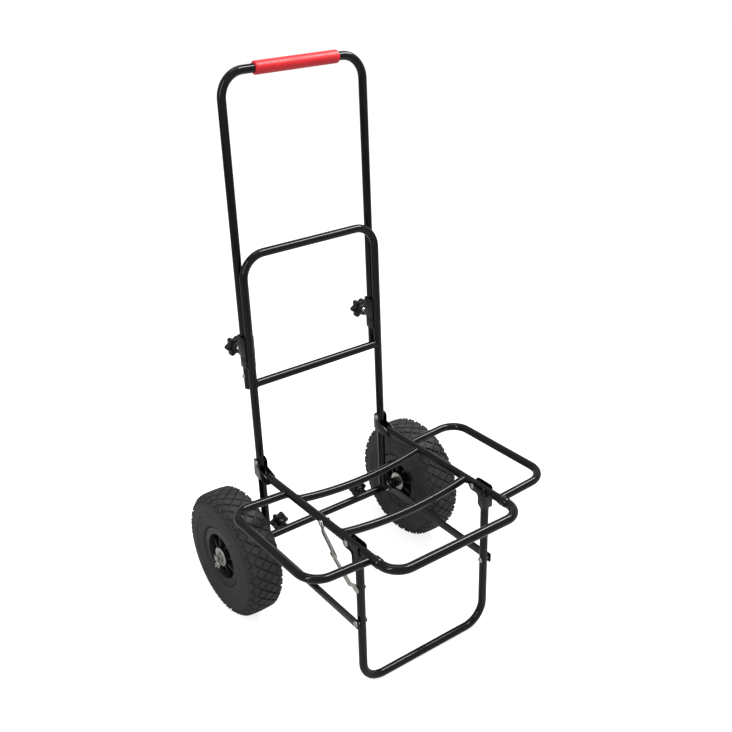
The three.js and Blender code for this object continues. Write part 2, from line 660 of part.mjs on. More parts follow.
// Pneumatic tyre, hollow and open between its beads. Two families of slanting grooves cut its tread
// into staggered blocks: whole ones on the crown, pointed ones and half lugs over the shoulders.
function tyreGeometry() {
  const half = TYRE_WIDTH / 2;
  const bead = RIM_WIDTH / 2 - RIM_WALL - SEAT_GAP;
  const seat = flatsClear(RIM_SEAT_RADIUS + SEAT_GAP, WHEEL_SIDES);
  const lip = flatsClear(RIM_FLANGE_RADIUS + SEAT_GAP, WHEEL_SIDES);
  const depth = WHEEL_RADIUS - lip;
  const onSection = (shares, inset = 0) => shares.map(([across, up]) => (
    new THREE.Vector2((half - inset) * across, lip + (depth - inset) * up)));
  const tops = onSection(TREAD_LINE_SHARES);
  const wall = onSection(TYRE_SIDE_SHARES);
  const lining = onSection(TYRE_LINING_SHARES, TYRE_WALL);
  const grooves = tops.map((top, k) => {
    const before = k > 0 ? tops[k - 1] : tops[1].clone().setX(-tops[1].x);
    const along = (tops[k + 1] ?? wall[0]).clone().sub(before).normalize();
    return top.clone().sub(new THREE.Vector2(-along.y, along.x).multiplyScalar(TREAD_DEPTH));
  });
  const lineOf = (points, line) => {
    const point = points[Math.abs(line)].clone();
    return line < 0 ? point.setX(-point.x) : point;
  };

  // Steps around the tyre are half blocks, and the corner of a crown block stands straight down.
  const step = Math.PI / TREAD_COLUMNS;
  const place = (point, steps) => {
    const angle = (steps - 2 + TREAD_GROOVE_SHARE) * step - Math.PI / 2;
    return vector(point.x, point.y * Math.cos(angle), point.y * Math.sin(angle));
  };
  const faces = [];
  const fan = (corners, peak) => corners.forEach((corner, k) => {
    faces.push(corner, corners[(k + 1) % corners.length], peak);
  });
  const crownBlock = (line, at) => {
    const reach = 1 - TREAD_GROOVE_SHARE;
    const top = lineOf(tops, line);
    const foot = [[line, at + 1], [line + 1, at], [line, at - 1], [line - 1, at]];
    const low = foot.map(([across, steps]) => place(lineOf(grooves, across), steps));
    const high = foot.map(([across, steps]) => (
      place(top.clone().lerp(lineOf(tops, across), reach), at + (steps - at) * reach)));
    low.forEach((corner, k) => {
      const next = (k + 1) % low.length;
      faces.push(corner, low[next], high[next], corner, high[next], high[k]);
    });
    faces.push(high[0], high[1], high[3], high[1], high[2], high[3]);
  };
  const shoulderBlock = (line, at) => {
    const foot = [[line, at + 1], [line + 1, at], [line, at - 1], [line - 1, at]];
    fan(foot.map(([across, steps]) => place(lineOf(grooves, across), steps)), place(lineOf(tops, line), at));
  };
  const shoulderLug = (line, at) => {
    const inner = line - Math.sign(line);
    const foot = line > 0
      ? [[line, at + 1], [line, at - 1], [inner, at]]
      : [[line, at + 1], [inner, at], [line, at - 1]];
    const peak = lineOf(tops, inner).lerp(lineOf(tops, line), SHOULDER_LUG_SHARE);
    fan(foot.map(([across, steps]) => place(lineOf(grooves, across), steps)), place(peak, at));
  };
  const edge = tops.length - 1;
  for (let line = -edge; line <= edge; line += 1) {
    const block = [crownBlock, crownBlock, shoulderBlock, shoulderLug][Math.abs(line)];
    for (let at = (line + edge) % 2; at < 2 * TREAD_COLUMNS; at += 2) {
      block(line, at);
    }
  }

  // From one edge of the tread down the wall, round the bead, across the lining and up the other wall.
  const right = [
    ...wall, new THREE.Vector2(bead, lip), new THREE.Vector2(bead, seat),
    new THREE.Vector2(bead - TYRE_WALL, seat), ...lining,
  ];
  const rings = [...right, ...right.map((point) => point.clone().setX(-point.x)).reverse()];
  const [rightEdge, leftEdge] = [lineOf(grooves, edge), lineOf(grooves, -edge)];
  const [first, last] = [rings[0], rings[rings.length - 1]];
  for (let at = 1; at < 2 * TREAD_COLUMNS; at += 4) {
    const [middle, end] = [at + 2, at + 4];
    faces.push(
      place(rightEdge, at), place(rightEdge, middle), place(first, at),
      place(rightEdge, middle), place(first, end), place(first, at),
      place(rightEdge, middle), place(rightEdge, end), place(first, end),
      place(last, at), place(last, end), place(leftEdge, middle),
      place(last, at), place(leftEdge, middle), place(leftEdge, at),
      place(last, end), place(leftEdge, end), place(leftEdge, middle),
    );
    rings.slice(1).forEach((ring, k) => {
      const corners = [place(rings[k], at), place(rings[k], end), place(ring, end), place(ring, at)];
      faces.push(corners[0], corners[1], corners[2], corners[0], corners[2], corners[3]);
    });
  }
  return new THREE.BufferGeometry().setFromPoints(faces);
}

function buildWheels() {
  const rim = rimGeometry();
  const tyre = tyreGeometry();
  const face = HUB_LENGTH / 2;
  const bore = flatsClear(AXLE_RADIUS + SEAT_GAP, ROUND_SIDES);
  const bearing = turned([
    [face, bore], [face, BEARING_FLANGE_RADIUS], [face - SHEET, BEARING_FLANGE_RADIUS],
    [face - SHEET, BEARING_RADIUS], [face - SHEET - BEARING_DEPTH, BEARING_RADIUS],
    [face - SHEET - BEARING_DEPTH, bore],
  ]);
  for (const [name, side] of SIDES) {
    const wheel = new THREE.Group();
    wheel.position.set(side * WHEEL_PLANE, 0, WHEEL_RADIUS);
    trolley.add(wheel);
    piece(wheel, `rim_${name}`, rim, blackPlastic);
    piece(wheel, `tyre_${name}`, tyre, rubber);
    piece(wheel, `bearing_outer_${name}`, onSide(bearing, side), zinc);
    piece(wheel, `bearing_inner_${name}`, onSide(bearing, -side), zinc);
  }
}

// Plain rail, whose front end the front bar sleeves over.
function railGeometry(pivots) {
  const rail = frameTube([vector(FRAME_HALF_WIDTH, -RAIL_START, 0), vector(FRAME_HALF_WIDTH, -RAIL_END, 0)]);
  return cut(rail, ...pivots.map(([radius, reach]) => crossHole(radius + SEAT_GAP, -reach, 0)));
}

// Front bar of larger tube, with a belled collar at each end.
function frontBarGeometry() {
  const onRail = (side, reach) => vector(side * FRAME_HALF_WIDTH, -reach, 0);
  const bar = tube(bentRings([
    onRail(-1, COLLAR_START), onRail(-1, FRONT_BAR_REACH), onRail(1, FRONT_BAR_REACH), onRail(1, COLLAR_START),
  ], FRONT_BEND), FRONT_BAR_RADIUS, FRONT_BAR_RADIUS - TUBE_WALL);
  const collars = SIDES.map(([, side]) => tube(
    [onRail(side, COLLAR_START), onRail(side, COLLAR_START + COLLAR_LENGTH)],
    COLLAR_RADIUS,
    FRONT_BAR_RADIUS - TUBE_WALL / 2,
  ));
  const sleeves = SIDES.map(([, side]) => (
    clearRod(TUBE_RADIUS, onRail(side, COLLAR_START - OVERRUN), onRail(side, RAIL_END + SEAT_GAP))));
  return cut(joined(bar, ...collars), ...sleeves);
}

function buildPlatform() {
  const legPivot = [RIVET_RADIUS, LEG_HINGE_REACH];
  const stayPivot = [STAY_RIVET_RADIUS, STAY_TOP_REACH];
  piece(platform, 'rail_left', onSide(railGeometry([legPivot, stayPivot]), -1), powderCoat);
  piece(platform, 'rail_right', railGeometry([legPivot]), powderCoat);
  piece(platform, 'front_bar', frontBarGeometry(), powderCoat);

  const railCope = (side, reach) => clearRod(
    TUBE_RADIUS,
    vector(side * FRAME_HALF_WIDTH, -reach + TUBE_RADIUS + OVERRUN, 0),
    vector(side * FRAME_HALF_WIDTH, -reach - TUBE_RADIUS - OVERRUN, 0),
  );
  for (const [name, reach] of [['slat_rear', REAR_SLAT_REACH], ['slat_front', FRONT_SLAT_REACH]]) {
    const rings = Array.from({ length: SLAT_SPANS + 1 }, (_, k) => {
      const share = 2 * k / SLAT_SPANS - 1;
      return vector(share * FRAME_HALF_WIDTH, -reach, -SLAT_SAG * (1 - share * share));
    });
    const copes = [-1, 1].map((side) => railCope(side, reach));
    piece(platform, name, cut(tube(rings, TUBE_RADIUS, TUBE_BORE), ...copes), powderCoat);
  }

  const wing = cut(
    frameTube([
      vector(FRAME_HALF_WIDTH, -WING_REAR_REACH, WING_RISE), vector(WING_HALF_WIDTH, -WING_REAR_REACH, WING_RISE),
      vector(WING_HALF_WIDTH, -WING_FRONT_REACH, WING_RISE), vector(FRAME_HALF_WIDTH, -WING_FRONT_REACH, WING_RISE),
    ], WING_BEND),
    railCope(1, WING_REAR_REACH),
    railCope(1, WING_FRONT_REACH),
  );
  for (const [name, side] of SIDES) {
    piece(platform, `wing_${name}`, onSide(wing, side), powderCoat);
  }
}

// Folded sheet bracket under each rail's rear end, with two ears either side of the upright.
function buildPlatformHinges() {
  const inside = TUBE_RADIUS + SEAT_GAP;
  const cheekIn = FRAME_HALF_WIDTH - inside - SHEET;
  const cheekOut = FRAME_HALF_WIDTH + inside + SHEET;
  const floor = -inside - SHEET;
  const rear = hingePin.y + HINGE_EAR;
  const front = hingePin.y - HINGE_EAR;
  const earTop = arcPoints(hingePin.y, hingePin.z, HINGE_EAR, 0, 180, TUBE_SIDES / 2);
  const outline = [
    ...earTop,
    [front, TUBE_RADIUS + HINGE_THROAT],
    [-HINGE_FOOT_REACH + HINGE_THROAT, HINGE_FOOT_TOP],
    [-HINGE_FOOT_REACH, 0],
    [-HINGE_FOOT_REACH, floor],
    [uprightAtRail.y, floor],
    [rear, floor / 2],
  ];
  const block = sidePlate(outline, cheekIn, cheekOut);
  const slotTop = hingePin.z + HINGE_EAR + OVERRUN;
  const channel = sidePlate([
    [-HINGE_FOOT_REACH - OVERRUN, -inside], [-RAIL_START, -inside], [-RAIL_START + SHEET, floor - OVERRUN],
    [rear + OVERRUN, floor - OVERRUN], [rear + OVERRUN, slotTop], [-HINGE_FOOT_REACH - OVERRUN, slotTop],
  ], cheekIn + SHEET, cheekOut - SHEET);
  const pinHole = crossHole(HINGE_BORE, hingePin.y, hingePin.z, cheekIn - OVERRUN, cheekOut + OVERRUN);
  const bracket = cut(block, channel, pinHole);
  const pin = rivet({
    from: cheekIn - SEAT_GAP,
    face: cheekOut + SEAT_GAP,
    shank: RIVET_RADIUS,
    head: RIVET_HEAD_RADIUS,
    headHeight: RIVET_HEAD,
    tail: RIVET_TAIL_RADIUS,
    tailHeight: RIVET_HEAD,
  }).translate(0, hingePin.y, hingePin.z);
  for (const [name, side] of SIDES) {
    piece(platform, `platform_hinge_${name}`, onSide(bracket, side), powderCoat);
    piece(platform, `hinge_rivet_${name}`, onSide(pin, side), zinc);
  }
}

// U-shaped leg that stands on the ground. It butts under the rails, ahead of its hinge.
function buildLeg() {
  const rise = radians(PLATFORM_RISE);
  const reach = LEG_HINGE_REACH + LEG_SET_AHEAD;
  const drop = (RAIL_HEIGHT + reach * Math.sin(rise) - TUBE_RADIUS) / Math.cos(rise);
  const top = -TUBE_RADIUS - LEG_SHORT;
  const corner = (side, z) => vector(side * FRAME_HALF_WIDTH, -LEG_SET_AHEAD, z);
  const loop = frameTube([corner(-1, top), corner(-1, -drop), corner(1, -drop), corner(1, top)]);
  const tail = (side, radius, shank, z) => {
    const stub = turned([
      [INNER_FACE - STAY_RIVET_HEAD, 0],
      [INNER_FACE - STAY_RIVET_HEAD, radius * DOME_TOP_SHARE],
      [INNER_FACE + SEAT_GAP, radius],
      [INNER_FACE + TUBE_WALL, shank],
      [INNER_FACE + TUBE_WALL, 0],
    ], SMALL_SIDES);
    return onSide(stub.translate(0, -LEG_SET_AHEAD, z), side);
  };
  const braceTails = SIDES.map(([, side]) => tail(side, RIVET_TAIL_RADIUS, RIVET_RADIUS, -BRACE_DROP));
  const stayTail = tail(-1, STAY_RIVET_HEAD_RADIUS, STAY_RIVET_RADIUS, -STAY_FOOT_DROP);
  piece(leg, 'leg_frame', joined(loop, ...braceTails, stayTail), powderCoat);

  const inside = TUBE_RADIUS + SEAT_GAP;
  const cheekIn = FRAME_HALF_WIDTH - inside - SHEET;
  const cheekOut = FRAME_HALF_WIDTH + inside + SHEET;
  const behindLeg = -LEG_SET_AHEAD + TUBE_RADIUS;
  const web = -LEG_SET_AHEAD - inside - SHEET;
  const outline = [
    ...arcPoints(0, 0, LEG_EAR, -70, 30, TUBE_SIDES / 2),
    [0, LEG_PLATE_TOP + SHEET],
    [web + LEG_PLATE_TAPER + SHEET, LEG_PLATE_TOP],
    [web, -TUBE_RADIUS],
    [web, -LEG_PLATE_DROP],
    [-LEG_SET_AHEAD, -LEG_PLATE_DROP - LEG_PLATE_TAPER],
    [behindLeg, -LEG_PLATE_DROP + LEG_PLATE_TAPER],
    [behindLeg + SHEET, -LEG_PLATE_DROP + LEG_EAR + LEG_PLATE_TAPER],
  ];
  const block = sidePlate(outline, cheekIn, cheekOut);
  const slotFloor = -LEG_PLATE_DROP - LEG_PLATE_TAPER - OVERRUN;
  const slot = sidePlate([
    [-LEG_SET_AHEAD - inside, slotFloor], [LEG_EAR + OVERRUN, slotFloor],
    [LEG_EAR + OVERRUN, LEG_EAR + OVERRUN], [web - OVERRUN, LEG_EAR + OVERRUN],
    [web - OVERRUN, -inside - RUNNING_GAP], [-LEG_SET_AHEAD - inside, -inside - RUNNING_GAP],
  ], cheekIn + SHEET, cheekOut - SHEET);
  const pinHole = crossHole(HINGE_BORE, 0, 0, cheekIn - OVERRUN, cheekOut + OVERRUN);
  const bracket = cut(block, slot, pinHole);
  const pin = rivet({
    from: cheekIn - SEAT_GAP,
    face: cheekOut + SEAT_GAP,
    shank: RIVET_RADIUS,
    head: RIVET_HEAD_RADIUS,
    headHeight: RIVET_HEAD,
    tail: RIVET_TAIL_RADIUS,
    tailHeight: RIVET_HEAD,
  });
  for (const [name, side] of SIDES) {
    piece(leg, `leg_hinge_${name}`, onSide(bracket, side), powderCoat);
    piece(leg, `leg_rivet_${name}`, onSide(pin, side), zinc);
  }
}

// A flat link with round ends and an eye at each end, from the origin towards -Y.
function linkOutline(length, width, eyes) {
  const radius = width / 2;
  const shape = new THREE.Shape();
  shape.absarc(0, 0, radius, -Math.PI / 2, Math.PI / 2, false);
  shape.absarc(-length, 0, radius, Math.PI / 2, Math.PI * 1.5, false);
  for (const [y, bore] of eyes) {
    const rim = circlePoints(bore, SMALL_SIDES).map((point) => point.add(new THREE.Vector2(y, 0)));
    shape.holes.push(new THREE.Path(rim));
  }
  return shape;
}

// A group at one end of a link, turned so that the link's length runs towards the other end.
function linkFrame(parent, from, to) {
  const frame = new THREE.Group();
  frame.position.copy(from);
  frame.rotation.x = Math.atan2(from.z - to.z, from.y - to.y);
  parent.add(frame);
  return frame;
}

// Flat braces from the axle to the leg. Their pin at the leg stops at the tube's face, and the leg
// carries the pin's tail, because this is the pivot where the four-bar linkage is opened.
function buildBraces() {
  const axle = vector(0, 0, WHEEL_RADIUS);
  const length = axle.distanceTo(braceFoot);
  const axleEye = flatsClear(AXLE_RADIUS + RUNNING_GAP, SMALL_SIDES);
  const pinEye = flatsClear(RIVET_RADIUS + SEAT_GAP, SMALL_SIDES);
  const outline = linkOutline(length, BRACE_WIDTH, [[0, axleEye], [-length, pinEye]]);
  const bar = sidePlate(outline, BRACE_FACE, BRACE_FACE + BRACE_THICKNESS);
  const pin = rivet({
    from: OUTER_FACE + SEAT_GAP,
    face: BRACE_FACE + BRACE_THICKNESS + SEAT_GAP,
    shank: RIVET_RADIUS,
    head: RIVET_HEAD_RADIUS,
    headHeight: RIVET_HEAD,
  }).translate(0, -length, 0);
  for (const [name, side] of SIDES) {
    const frame = linkFrame(trolley, axle, braceFoot);
    piece(frame, `brace_${name}`, onSide(bar, side), powderCoat);
    piece(frame, `brace_rivet_${name}`, onSide(pin, side), zinc);
  }
}

// The stay's lower link lies outside the upper one at the knee and steps in to the leg's face.
function buildStay() {
  const top = vector(0, -STAY_TOP_REACH, 0);
  const knee = vector(0, -STAY_KNEE_REACH, -STAY_KNEE_DROP);
  const foot = vector(0, -LEG_HINGE_REACH - LEG_SET_AHEAD, -STAY_FOOT_DROP);
  const eye = flatsClear(STAY_RIVET_RADIUS + SEAT_GAP, SMALL_SIDES);
  const upperLength = top.distanceTo(knee);
  const lowerLength = knee.distanceTo(foot);
  const upperOuter = UPPER_LINK_FACE + STAY_THICKNESS;
  const lowerFace = upperOuter + SEAT_GAP;
  const lowerOuter = lowerFace + STAY_THICKNESS;

  const upperFrame = linkFrame(platform, top, knee);
  const upperOutline = linkOutline(upperLength, UPPER_LINK_WIDTH, [[0, eye], [-upperLength, eye]]);
  piece(upperFrame, 'stay_upper_link', onSide(sidePlate(upperOutline, UPPER_LINK_FACE, upperOuter), -1), zinc);

  const lowerFrame = linkFrame(platform, knee, foot);
  const lowerOutline = linkOutline(lowerLength, LOWER_LINK_WIDTH, [[0, eye], [-lowerLength, eye]]);
  const halfWidth = LOWER_LINK_WIDTH / 2 + OVERRUN;
  const jogStart = -lowerLength * JOG_START_SHARE;
  const jogEnd = -lowerLength * JOG_END_SHARE;
  const strip = new THREE.Shape([
    [halfWidth, lowerFace], [halfWidth, lowerOuter], [jogStart, lowerOuter],
    [jogEnd, LOWER_LINK_FOOT_FACE + STAY_THICKNESS],
    [-lowerLength - halfWidth, LOWER_LINK_FOOT_FACE + STAY_THICKNESS],
    [-lowerLength - halfWidth, LOWER_LINK_FOOT_FACE], [jogEnd, LOWER_LINK_FOOT_FACE], [jogStart, lowerFace],
  ].map(([y, x]) => new THREE.Vector2(y, x)));
  const jogged = new THREE.ExtrudeGeometry(strip, { depth: halfWidth * 2, bevelEnabled: false });
  jogged.translate(0, 0, -halfWidth);
  jogged.applyMatrix4(new THREE.Matrix4().makeBasis(vector(0, 1, 0), vector(1, 0, 0), vector(0, 0, 1)));
  const plan = sidePlate(lowerOutline, OUTER_FACE - OVERRUN, lowerOuter + OVERRUN);
  piece(lowerFrame, 'stay_lower_link', onSide(common(jogged, plan), -1), zinc);

  const stayRivet = (from, face, tail, tailHeight) => rivet({
    from,
    face,
    shank: STAY_RIVET_RADIUS,
    head: STAY_RIVET_HEAD_RADIUS,
    headHeight: STAY_RIVET_HEAD,
    tail,
    tailHeight,
  });
  const topRivet = stayRivet(INNER_FACE - SEAT_GAP, upperOuter + SEAT_GAP, STAY_RIVET_HEAD_RADIUS, STAY_RIVET_HEAD);
  piece(upperFrame, 'stay_rivet_top', onSide(topRivet, -1), zinc);
  const kneeRivet = stayRivet(UPPER_LINK_FACE, lowerOuter + SEAT_GAP, 0, 0).translate(0, -upperLength, 0);
  piece(upperFrame, 'stay_rivet_knee', onSide(kneeRivet, -1), zinc);
  const footOuter = LOWER_LINK_FOOT_FACE + STAY_THICKNESS + SEAT_GAP;
  const footRivet = stayRivet(OUTER_FACE + SEAT_GAP, footOuter, 0, 0).translate(0, -lowerLength, 0);
  piece(lowerFrame, 'stay_rivet_foot', onSide(footRivet, -1), zinc);
}

buildBackFrame();
buildHandle();
buildHandleClamps();
buildAxleTube();
buildAxles();
buildWheels();
buildPlatform();
buildPlatformHinges();
buildLeg();
buildBraces();
buildStay();

// The origin goes to the middle of the footprint, on the ground.
const box = new THREE.Box3().setFromObject(trolley, true);
const middle = box.getCenter(vector());
trolley.position.set(-middle.x, -middle.y, -box.min.z);

const part = new THREE.Group();
part.add(trolley);

export default part;
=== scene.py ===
# %% [markdown]
# A folding fishing trolley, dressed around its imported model.
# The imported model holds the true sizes, so every piece here is made at the place that model gives.
# Lengths are in metres. Left is the -X side, as seen from in front of the platform.

# %% Load the frame
import json
import math

import bpy
from mathutils import Matrix, Vector


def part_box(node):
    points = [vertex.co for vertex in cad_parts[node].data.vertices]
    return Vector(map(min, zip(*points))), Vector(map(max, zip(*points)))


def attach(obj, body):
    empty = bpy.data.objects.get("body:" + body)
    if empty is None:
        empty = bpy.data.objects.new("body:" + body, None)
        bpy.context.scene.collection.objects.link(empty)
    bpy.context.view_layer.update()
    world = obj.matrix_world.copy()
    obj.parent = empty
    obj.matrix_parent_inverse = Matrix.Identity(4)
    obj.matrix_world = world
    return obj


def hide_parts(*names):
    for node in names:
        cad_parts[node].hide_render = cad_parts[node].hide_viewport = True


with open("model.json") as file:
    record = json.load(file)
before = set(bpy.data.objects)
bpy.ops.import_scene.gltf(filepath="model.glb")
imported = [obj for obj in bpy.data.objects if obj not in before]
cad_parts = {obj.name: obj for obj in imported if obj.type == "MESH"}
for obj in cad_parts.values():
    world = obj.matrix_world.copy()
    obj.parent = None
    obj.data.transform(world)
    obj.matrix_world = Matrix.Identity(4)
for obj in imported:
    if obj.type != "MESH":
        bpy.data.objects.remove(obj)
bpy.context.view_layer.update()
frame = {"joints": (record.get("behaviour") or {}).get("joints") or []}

pivots = {joint["name"]: Vector(joint["pos_m"]) for joint in frame["joints"] if "pos_m" in joint}

# %% [markdown]
# The camera looks down on the trolley from the front left.
# Its lens is set by what the sensor sees, so no field of view has to be worked out.

# %% Camera
EYE = Vector((-0.98342, -1.26202, 1.45797))
VIEW = Vector((0.52885987, 0.69113143, -0.49258967))
VIEW_UP = Vector((0.27716905, 0.40792946, 0.86992579))
LENS = 49.57
SENSOR = 36

view_right = VIEW.cross(VIEW_UP).normalized()
eye_axes = Matrix((view_right, VIEW_UP, -VIEW)).transposed().to_4x4()
bpy.ops.object.camera_add()
camera = bpy.context.object
camera.name = "photo_camera"
camera.matrix_world = Matrix.Translation(EYE) @ eye_axes
camera.data.lens = LENS
camera.data.sensor_width = SENSOR
bpy.context.scene.camera = camera
print("camera at", EYE)

# %% [markdown]
# The trolley is drawn in three sets of axes, as a maker would draw it on the bench.
# The axle line is level. The back frame leans from it, and the platform rises from the hinges.
# Each piece is modelled in its own axes, and is then turned into place with its origin left at zero.

# %% The bench axes
BACK_LEAN = math.radians(5.9)
PLATFORM_RISE = math.radians(4.95)
RAIL_HEIGHT = 0.2855
LEG_HINGE_REACH = 0.286
HALF_WIDTH = 0.149
QUARTER = math.pi / 2
FULL_TURN = 2 * math.pi
X, Y, Z = Vector((1, 0, 0)), Vector((0, 1, 0)), Vector((0, 0, 1))
SIDES = (("left", -1), ("right", 1))
BOTH = (-1, 1)
moved = Matrix.Translation


def rotated(angle, axis):
    return Matrix.Rotation(angle, 4, axis)


def into(axes, point):
    """A point of the whole trolley, given in one of the bench axes."""
    return axes.inverted() @ point


def side_point(side, y, z):
    return Vector((side * HALF_WIDTH, y, z))


low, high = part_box("stub_axle_left")
axle_line = Vector((0, (low.y + high.y) / 2, (low.z + high.z) / 2))
AXLE_AXES = moved(axle_line)
BACK_AXES = AXLE_AXES @ rotated(-BACK_LEAN, "X")
PLATFORM_AXES = moved((0, axle_line.y, RAIL_HEIGHT)) @ rotated(-PLATFORM_RISE, "X")
LEG_AXES = PLATFORM_AXES @ moved((0, -LEG_HINGE_REACH, 0))
hinge_pin = into(PLATFORM_AXES, pivots["platform_fold"])
print("axle line:", axle_line, "leg hinge:", LEG_AXES @ Vector(), pivots["leg_fold"])

# %% [markdown]
# A few helpers do what the hand does with menus: clear the selection, pick faces, apply a tool.
# An operator acts on all that is selected, so each helper starts from an empty selection.

# %% Selecting and shaping helpers
SHARP_ANGLE = math.radians(38)


def only(piece):
    """Leave edit mode and select this piece alone."""
    if bpy.context.object and bpy.context.object.mode != "OBJECT":
        bpy.ops.object.mode_set(mode="OBJECT")
    bpy.ops.object.select_all(action="DESELECT")
    piece.select_set(True)
    bpy.context.view_layer.objects.active = piece


def fresh(name):
    """Name the primitive that was just added, and put its place into its mesh."""
    piece = bpy.context.object
    piece.name = name
    only(piece)
    bpy.ops.object.transform_apply(location=True, rotation=True, scale=True)
    return piece


def edit(piece, mode="FACE", action="SELECT"):
    only(piece)
    bpy.ops.object.mode_set(mode="EDIT")
    bpy.ops.mesh.select_mode(type=mode)
    bpy.ops.mesh.select_all(action=action)


def pick(piece, mode, items, test):
    """Select the vertices, edges or faces that pass a test, and stay in edit mode."""
    edit(piece, mode, "DESELECT")
    bpy.ops.object.mode_set(mode="OBJECT")
    for item in items:
        item.select = test(item)
    bpy.ops.object.mode_set(mode="EDIT")


def move_selected(step):
    bpy.ops.mesh.extrude_region_move(TRANSFORM_OT_translate={"value": step})


def face_out(piece):
    """Turn every face outwards and leave edit mode."""
    edit(piece)
    bpy.ops.mesh.normals_make_consistent(inside=False)
    only(piece)
    return piece


def place(piece, axes):
    """Turn a piece from its bench axes into its place on the trolley."""
    only(piece)
    piece.matrix_world = axes
    bpy.ops.object.transform_apply(location=True, rotation=True, scale=True)
    return piece


def apply_modifier(piece, kind, **settings):
    only(piece)
    modifier = piece.modifiers.new(kind.lower(), kind)
    for key, value in settings.items():
        setattr(modifier, key, value)
    bpy.ops.object.modifier_apply(modifier=modifier.name)


def round_edges(piece, width):
    apply_modifier(piece, "BEVEL", width=width, segments=2, limit_method="ANGLE", angle_limit=SHARP_ANGLE,
                   use_clamp_overlap=True)
    return piece


def scrap(*pieces):
    for piece in pieces:
        bpy.data.objects.remove(piece)


def cut_away(piece, cutter):
    """Cut one solid from another, then delete the cutter."""
    apply_modifier(piece, "BOOLEAN", operation="DIFFERENCE", object=cutter, solver="EXACT")
    scrap(cutter)


def join_to(piece, extras):
    only(piece)
    for extra in extras:
        extra.select_set(True)
    bpy.ops.object.join()


def copy_of(piece):
    only(piece)
    bpy.ops.object.duplicate()
    return bpy.context.object


def mirrored(piece):
    """A copy for the other side of the trolley, with its faces turned out again."""
    twin = copy_of(piece)
    twin.scale.x = -1
    bpy.ops.object.transform_apply(location=False, rotation=False, scale=True)
    return face_out(twin)


print("edges past", round(math.degrees(SHARP_ANGLE)), "degrees are rounded and shaded as edges")

# %% [markdown]
# Bent tube could be a curve with a round bevel, or a swept mesh.
# A spin tool works as the bender does: feed straight tube, turn round the former, feed again.
# It keeps true circular bends and even rings, so the highlight runs cleanly round each corner.

# %% The tube bender
TUBE_RADIUS = 0.008
TUBE_WALL = 0.0012
FRAME_BEND = 0.045
TUBE_SIDES = 32
BEND_STEPS = 12
MOUTH_DEPTH = 0.02
FACING = 0.9
COPE_GAP = 0.0001
PAST_TUBE = 0.02


def disc(name, centre, facing, radius=TUBE_RADIUS, sides=TUBE_SIDES):
    """The cut end that a tube is fed from, left open for editing."""
    bpy.ops.mesh.primitive_circle_add(vertices=sides, radius=radius, fill_type="NGON", location=centre,
                                      rotation=Z.rotation_difference(facing).to_euler())
    piece = fresh(name)
    edit(piece)
    return piece


def bent_tube(name, corners, bend=FRAME_BEND, radius=TUBE_RADIUS, sides=TUBE_SIDES, bend_steps=BEND_STEPS):
    """A closed round tube along straight runs, with a circular bend at each inner corner."""
    corners = [Vector(corner) for corner in corners]
    piece = disc(name, corners[0], (corners[1] - corners[0]).normalized(), radius, sides)
    here = corners[0]
    for before, corner, after in zip(corners, corners[1:], corners[2:]):
        arriving, leaving = (corner - before).normalized(), (after - corner).normalized()
        turn = arriving.angle(leaving)
        reach = bend * math.tan(turn / 2)
        bend_start = corner - arriving * reach
        axis = arriving.cross(leaving).normalized()
        move_selected(bend_start - here)
        bpy.ops.mesh.spin(steps=max(2, round(bend_steps * turn / QUARTER)), angle=-turn,
                          center=bend_start + axis.cross(arriving) * bend, axis=axis)
        here = corner + leaving * reach
    move_selected(corners[-1] - here)
    return face_out(piece)


def u_tube(name, foot, top, **settings):
    """A tube bent into a U between the two sides, its feet at one [y, z] place and its bar at another."""
    corners = (-1, foot), (-1, top), (1, top), (1, foot)
    return bent_tube(name, [side_point(side, *end) for side, end in corners], **settings)


def open_end(piece, centre, outward):
    """Hollow the end face that lies at a point and faces a way."""
    pick(piece, "FACE", piece.data.polygons,
         lambda face: (face.center - centre).length < TUBE_WALL and face.normal.dot(outward) > FACING)
    bpy.ops.mesh.inset(thickness=TUBE_WALL, depth=0)
    move_selected(-outward * MOUTH_DEPTH)
    only(piece)


def rod(name, start, end, radius=TUBE_RADIUS, sides=TUBE_SIDES):
    return bent_tube(name, [start, end], radius=radius, sides=sides)


def cope(piece, centre, along):
    """Shape a tube's end to sit round another tube that passes a point, a hair clear of it."""
    cutter = rod("cope_cutter", centre - along, centre + along, TUBE_RADIUS + COPE_GAP, 2 * TUBE_SIDES)
    cut_away(piece, cutter)


print("bender ready:", TUBE_SIDES, "sides,", BEND_STEPS, "rings in a square bend")

# %% [markdown]
# Round pieces such as rivets, hubs and rims are turned on a lathe.
# A single vertex is extruded from point to point to draw the section, and the section is spun once round.
# The section is a closed loop of [place along X, radius], so the turned piece is closed too.
# The same drawn loop, filled and extruded, makes what is cut from sheet.

# %% The lathe and the sheet cutter
LATHE_STEPS = 48
SEED_SIZE = 0.001
MERGE_DISTANCE = 1e-6
NO_LENGTH = 1e-7


def draw(name, points):
    """A closed loop of edges: one vertex, extruded from point to point and joined back to the first."""
    bpy.ops.mesh.primitive_plane_add(size=SEED_SIZE, location=points[0])
    piece = fresh(name)
    edit(piece, "VERT")
    bpy.ops.mesh.merge(type="CENTER")
    for here, there in zip(points, points[1:]):
        move_selected(there - here)
    ends = points[0], points[-1]
    pick(piece, "VERT", piece.data.vertices,
         lambda vertex: min((vertex.co - end).length for end in ends) < MERGE_DISTANCE)
    bpy.ops.mesh.edge_face_add()
    bpy.ops.mesh.select_all(action="SELECT")
    return piece


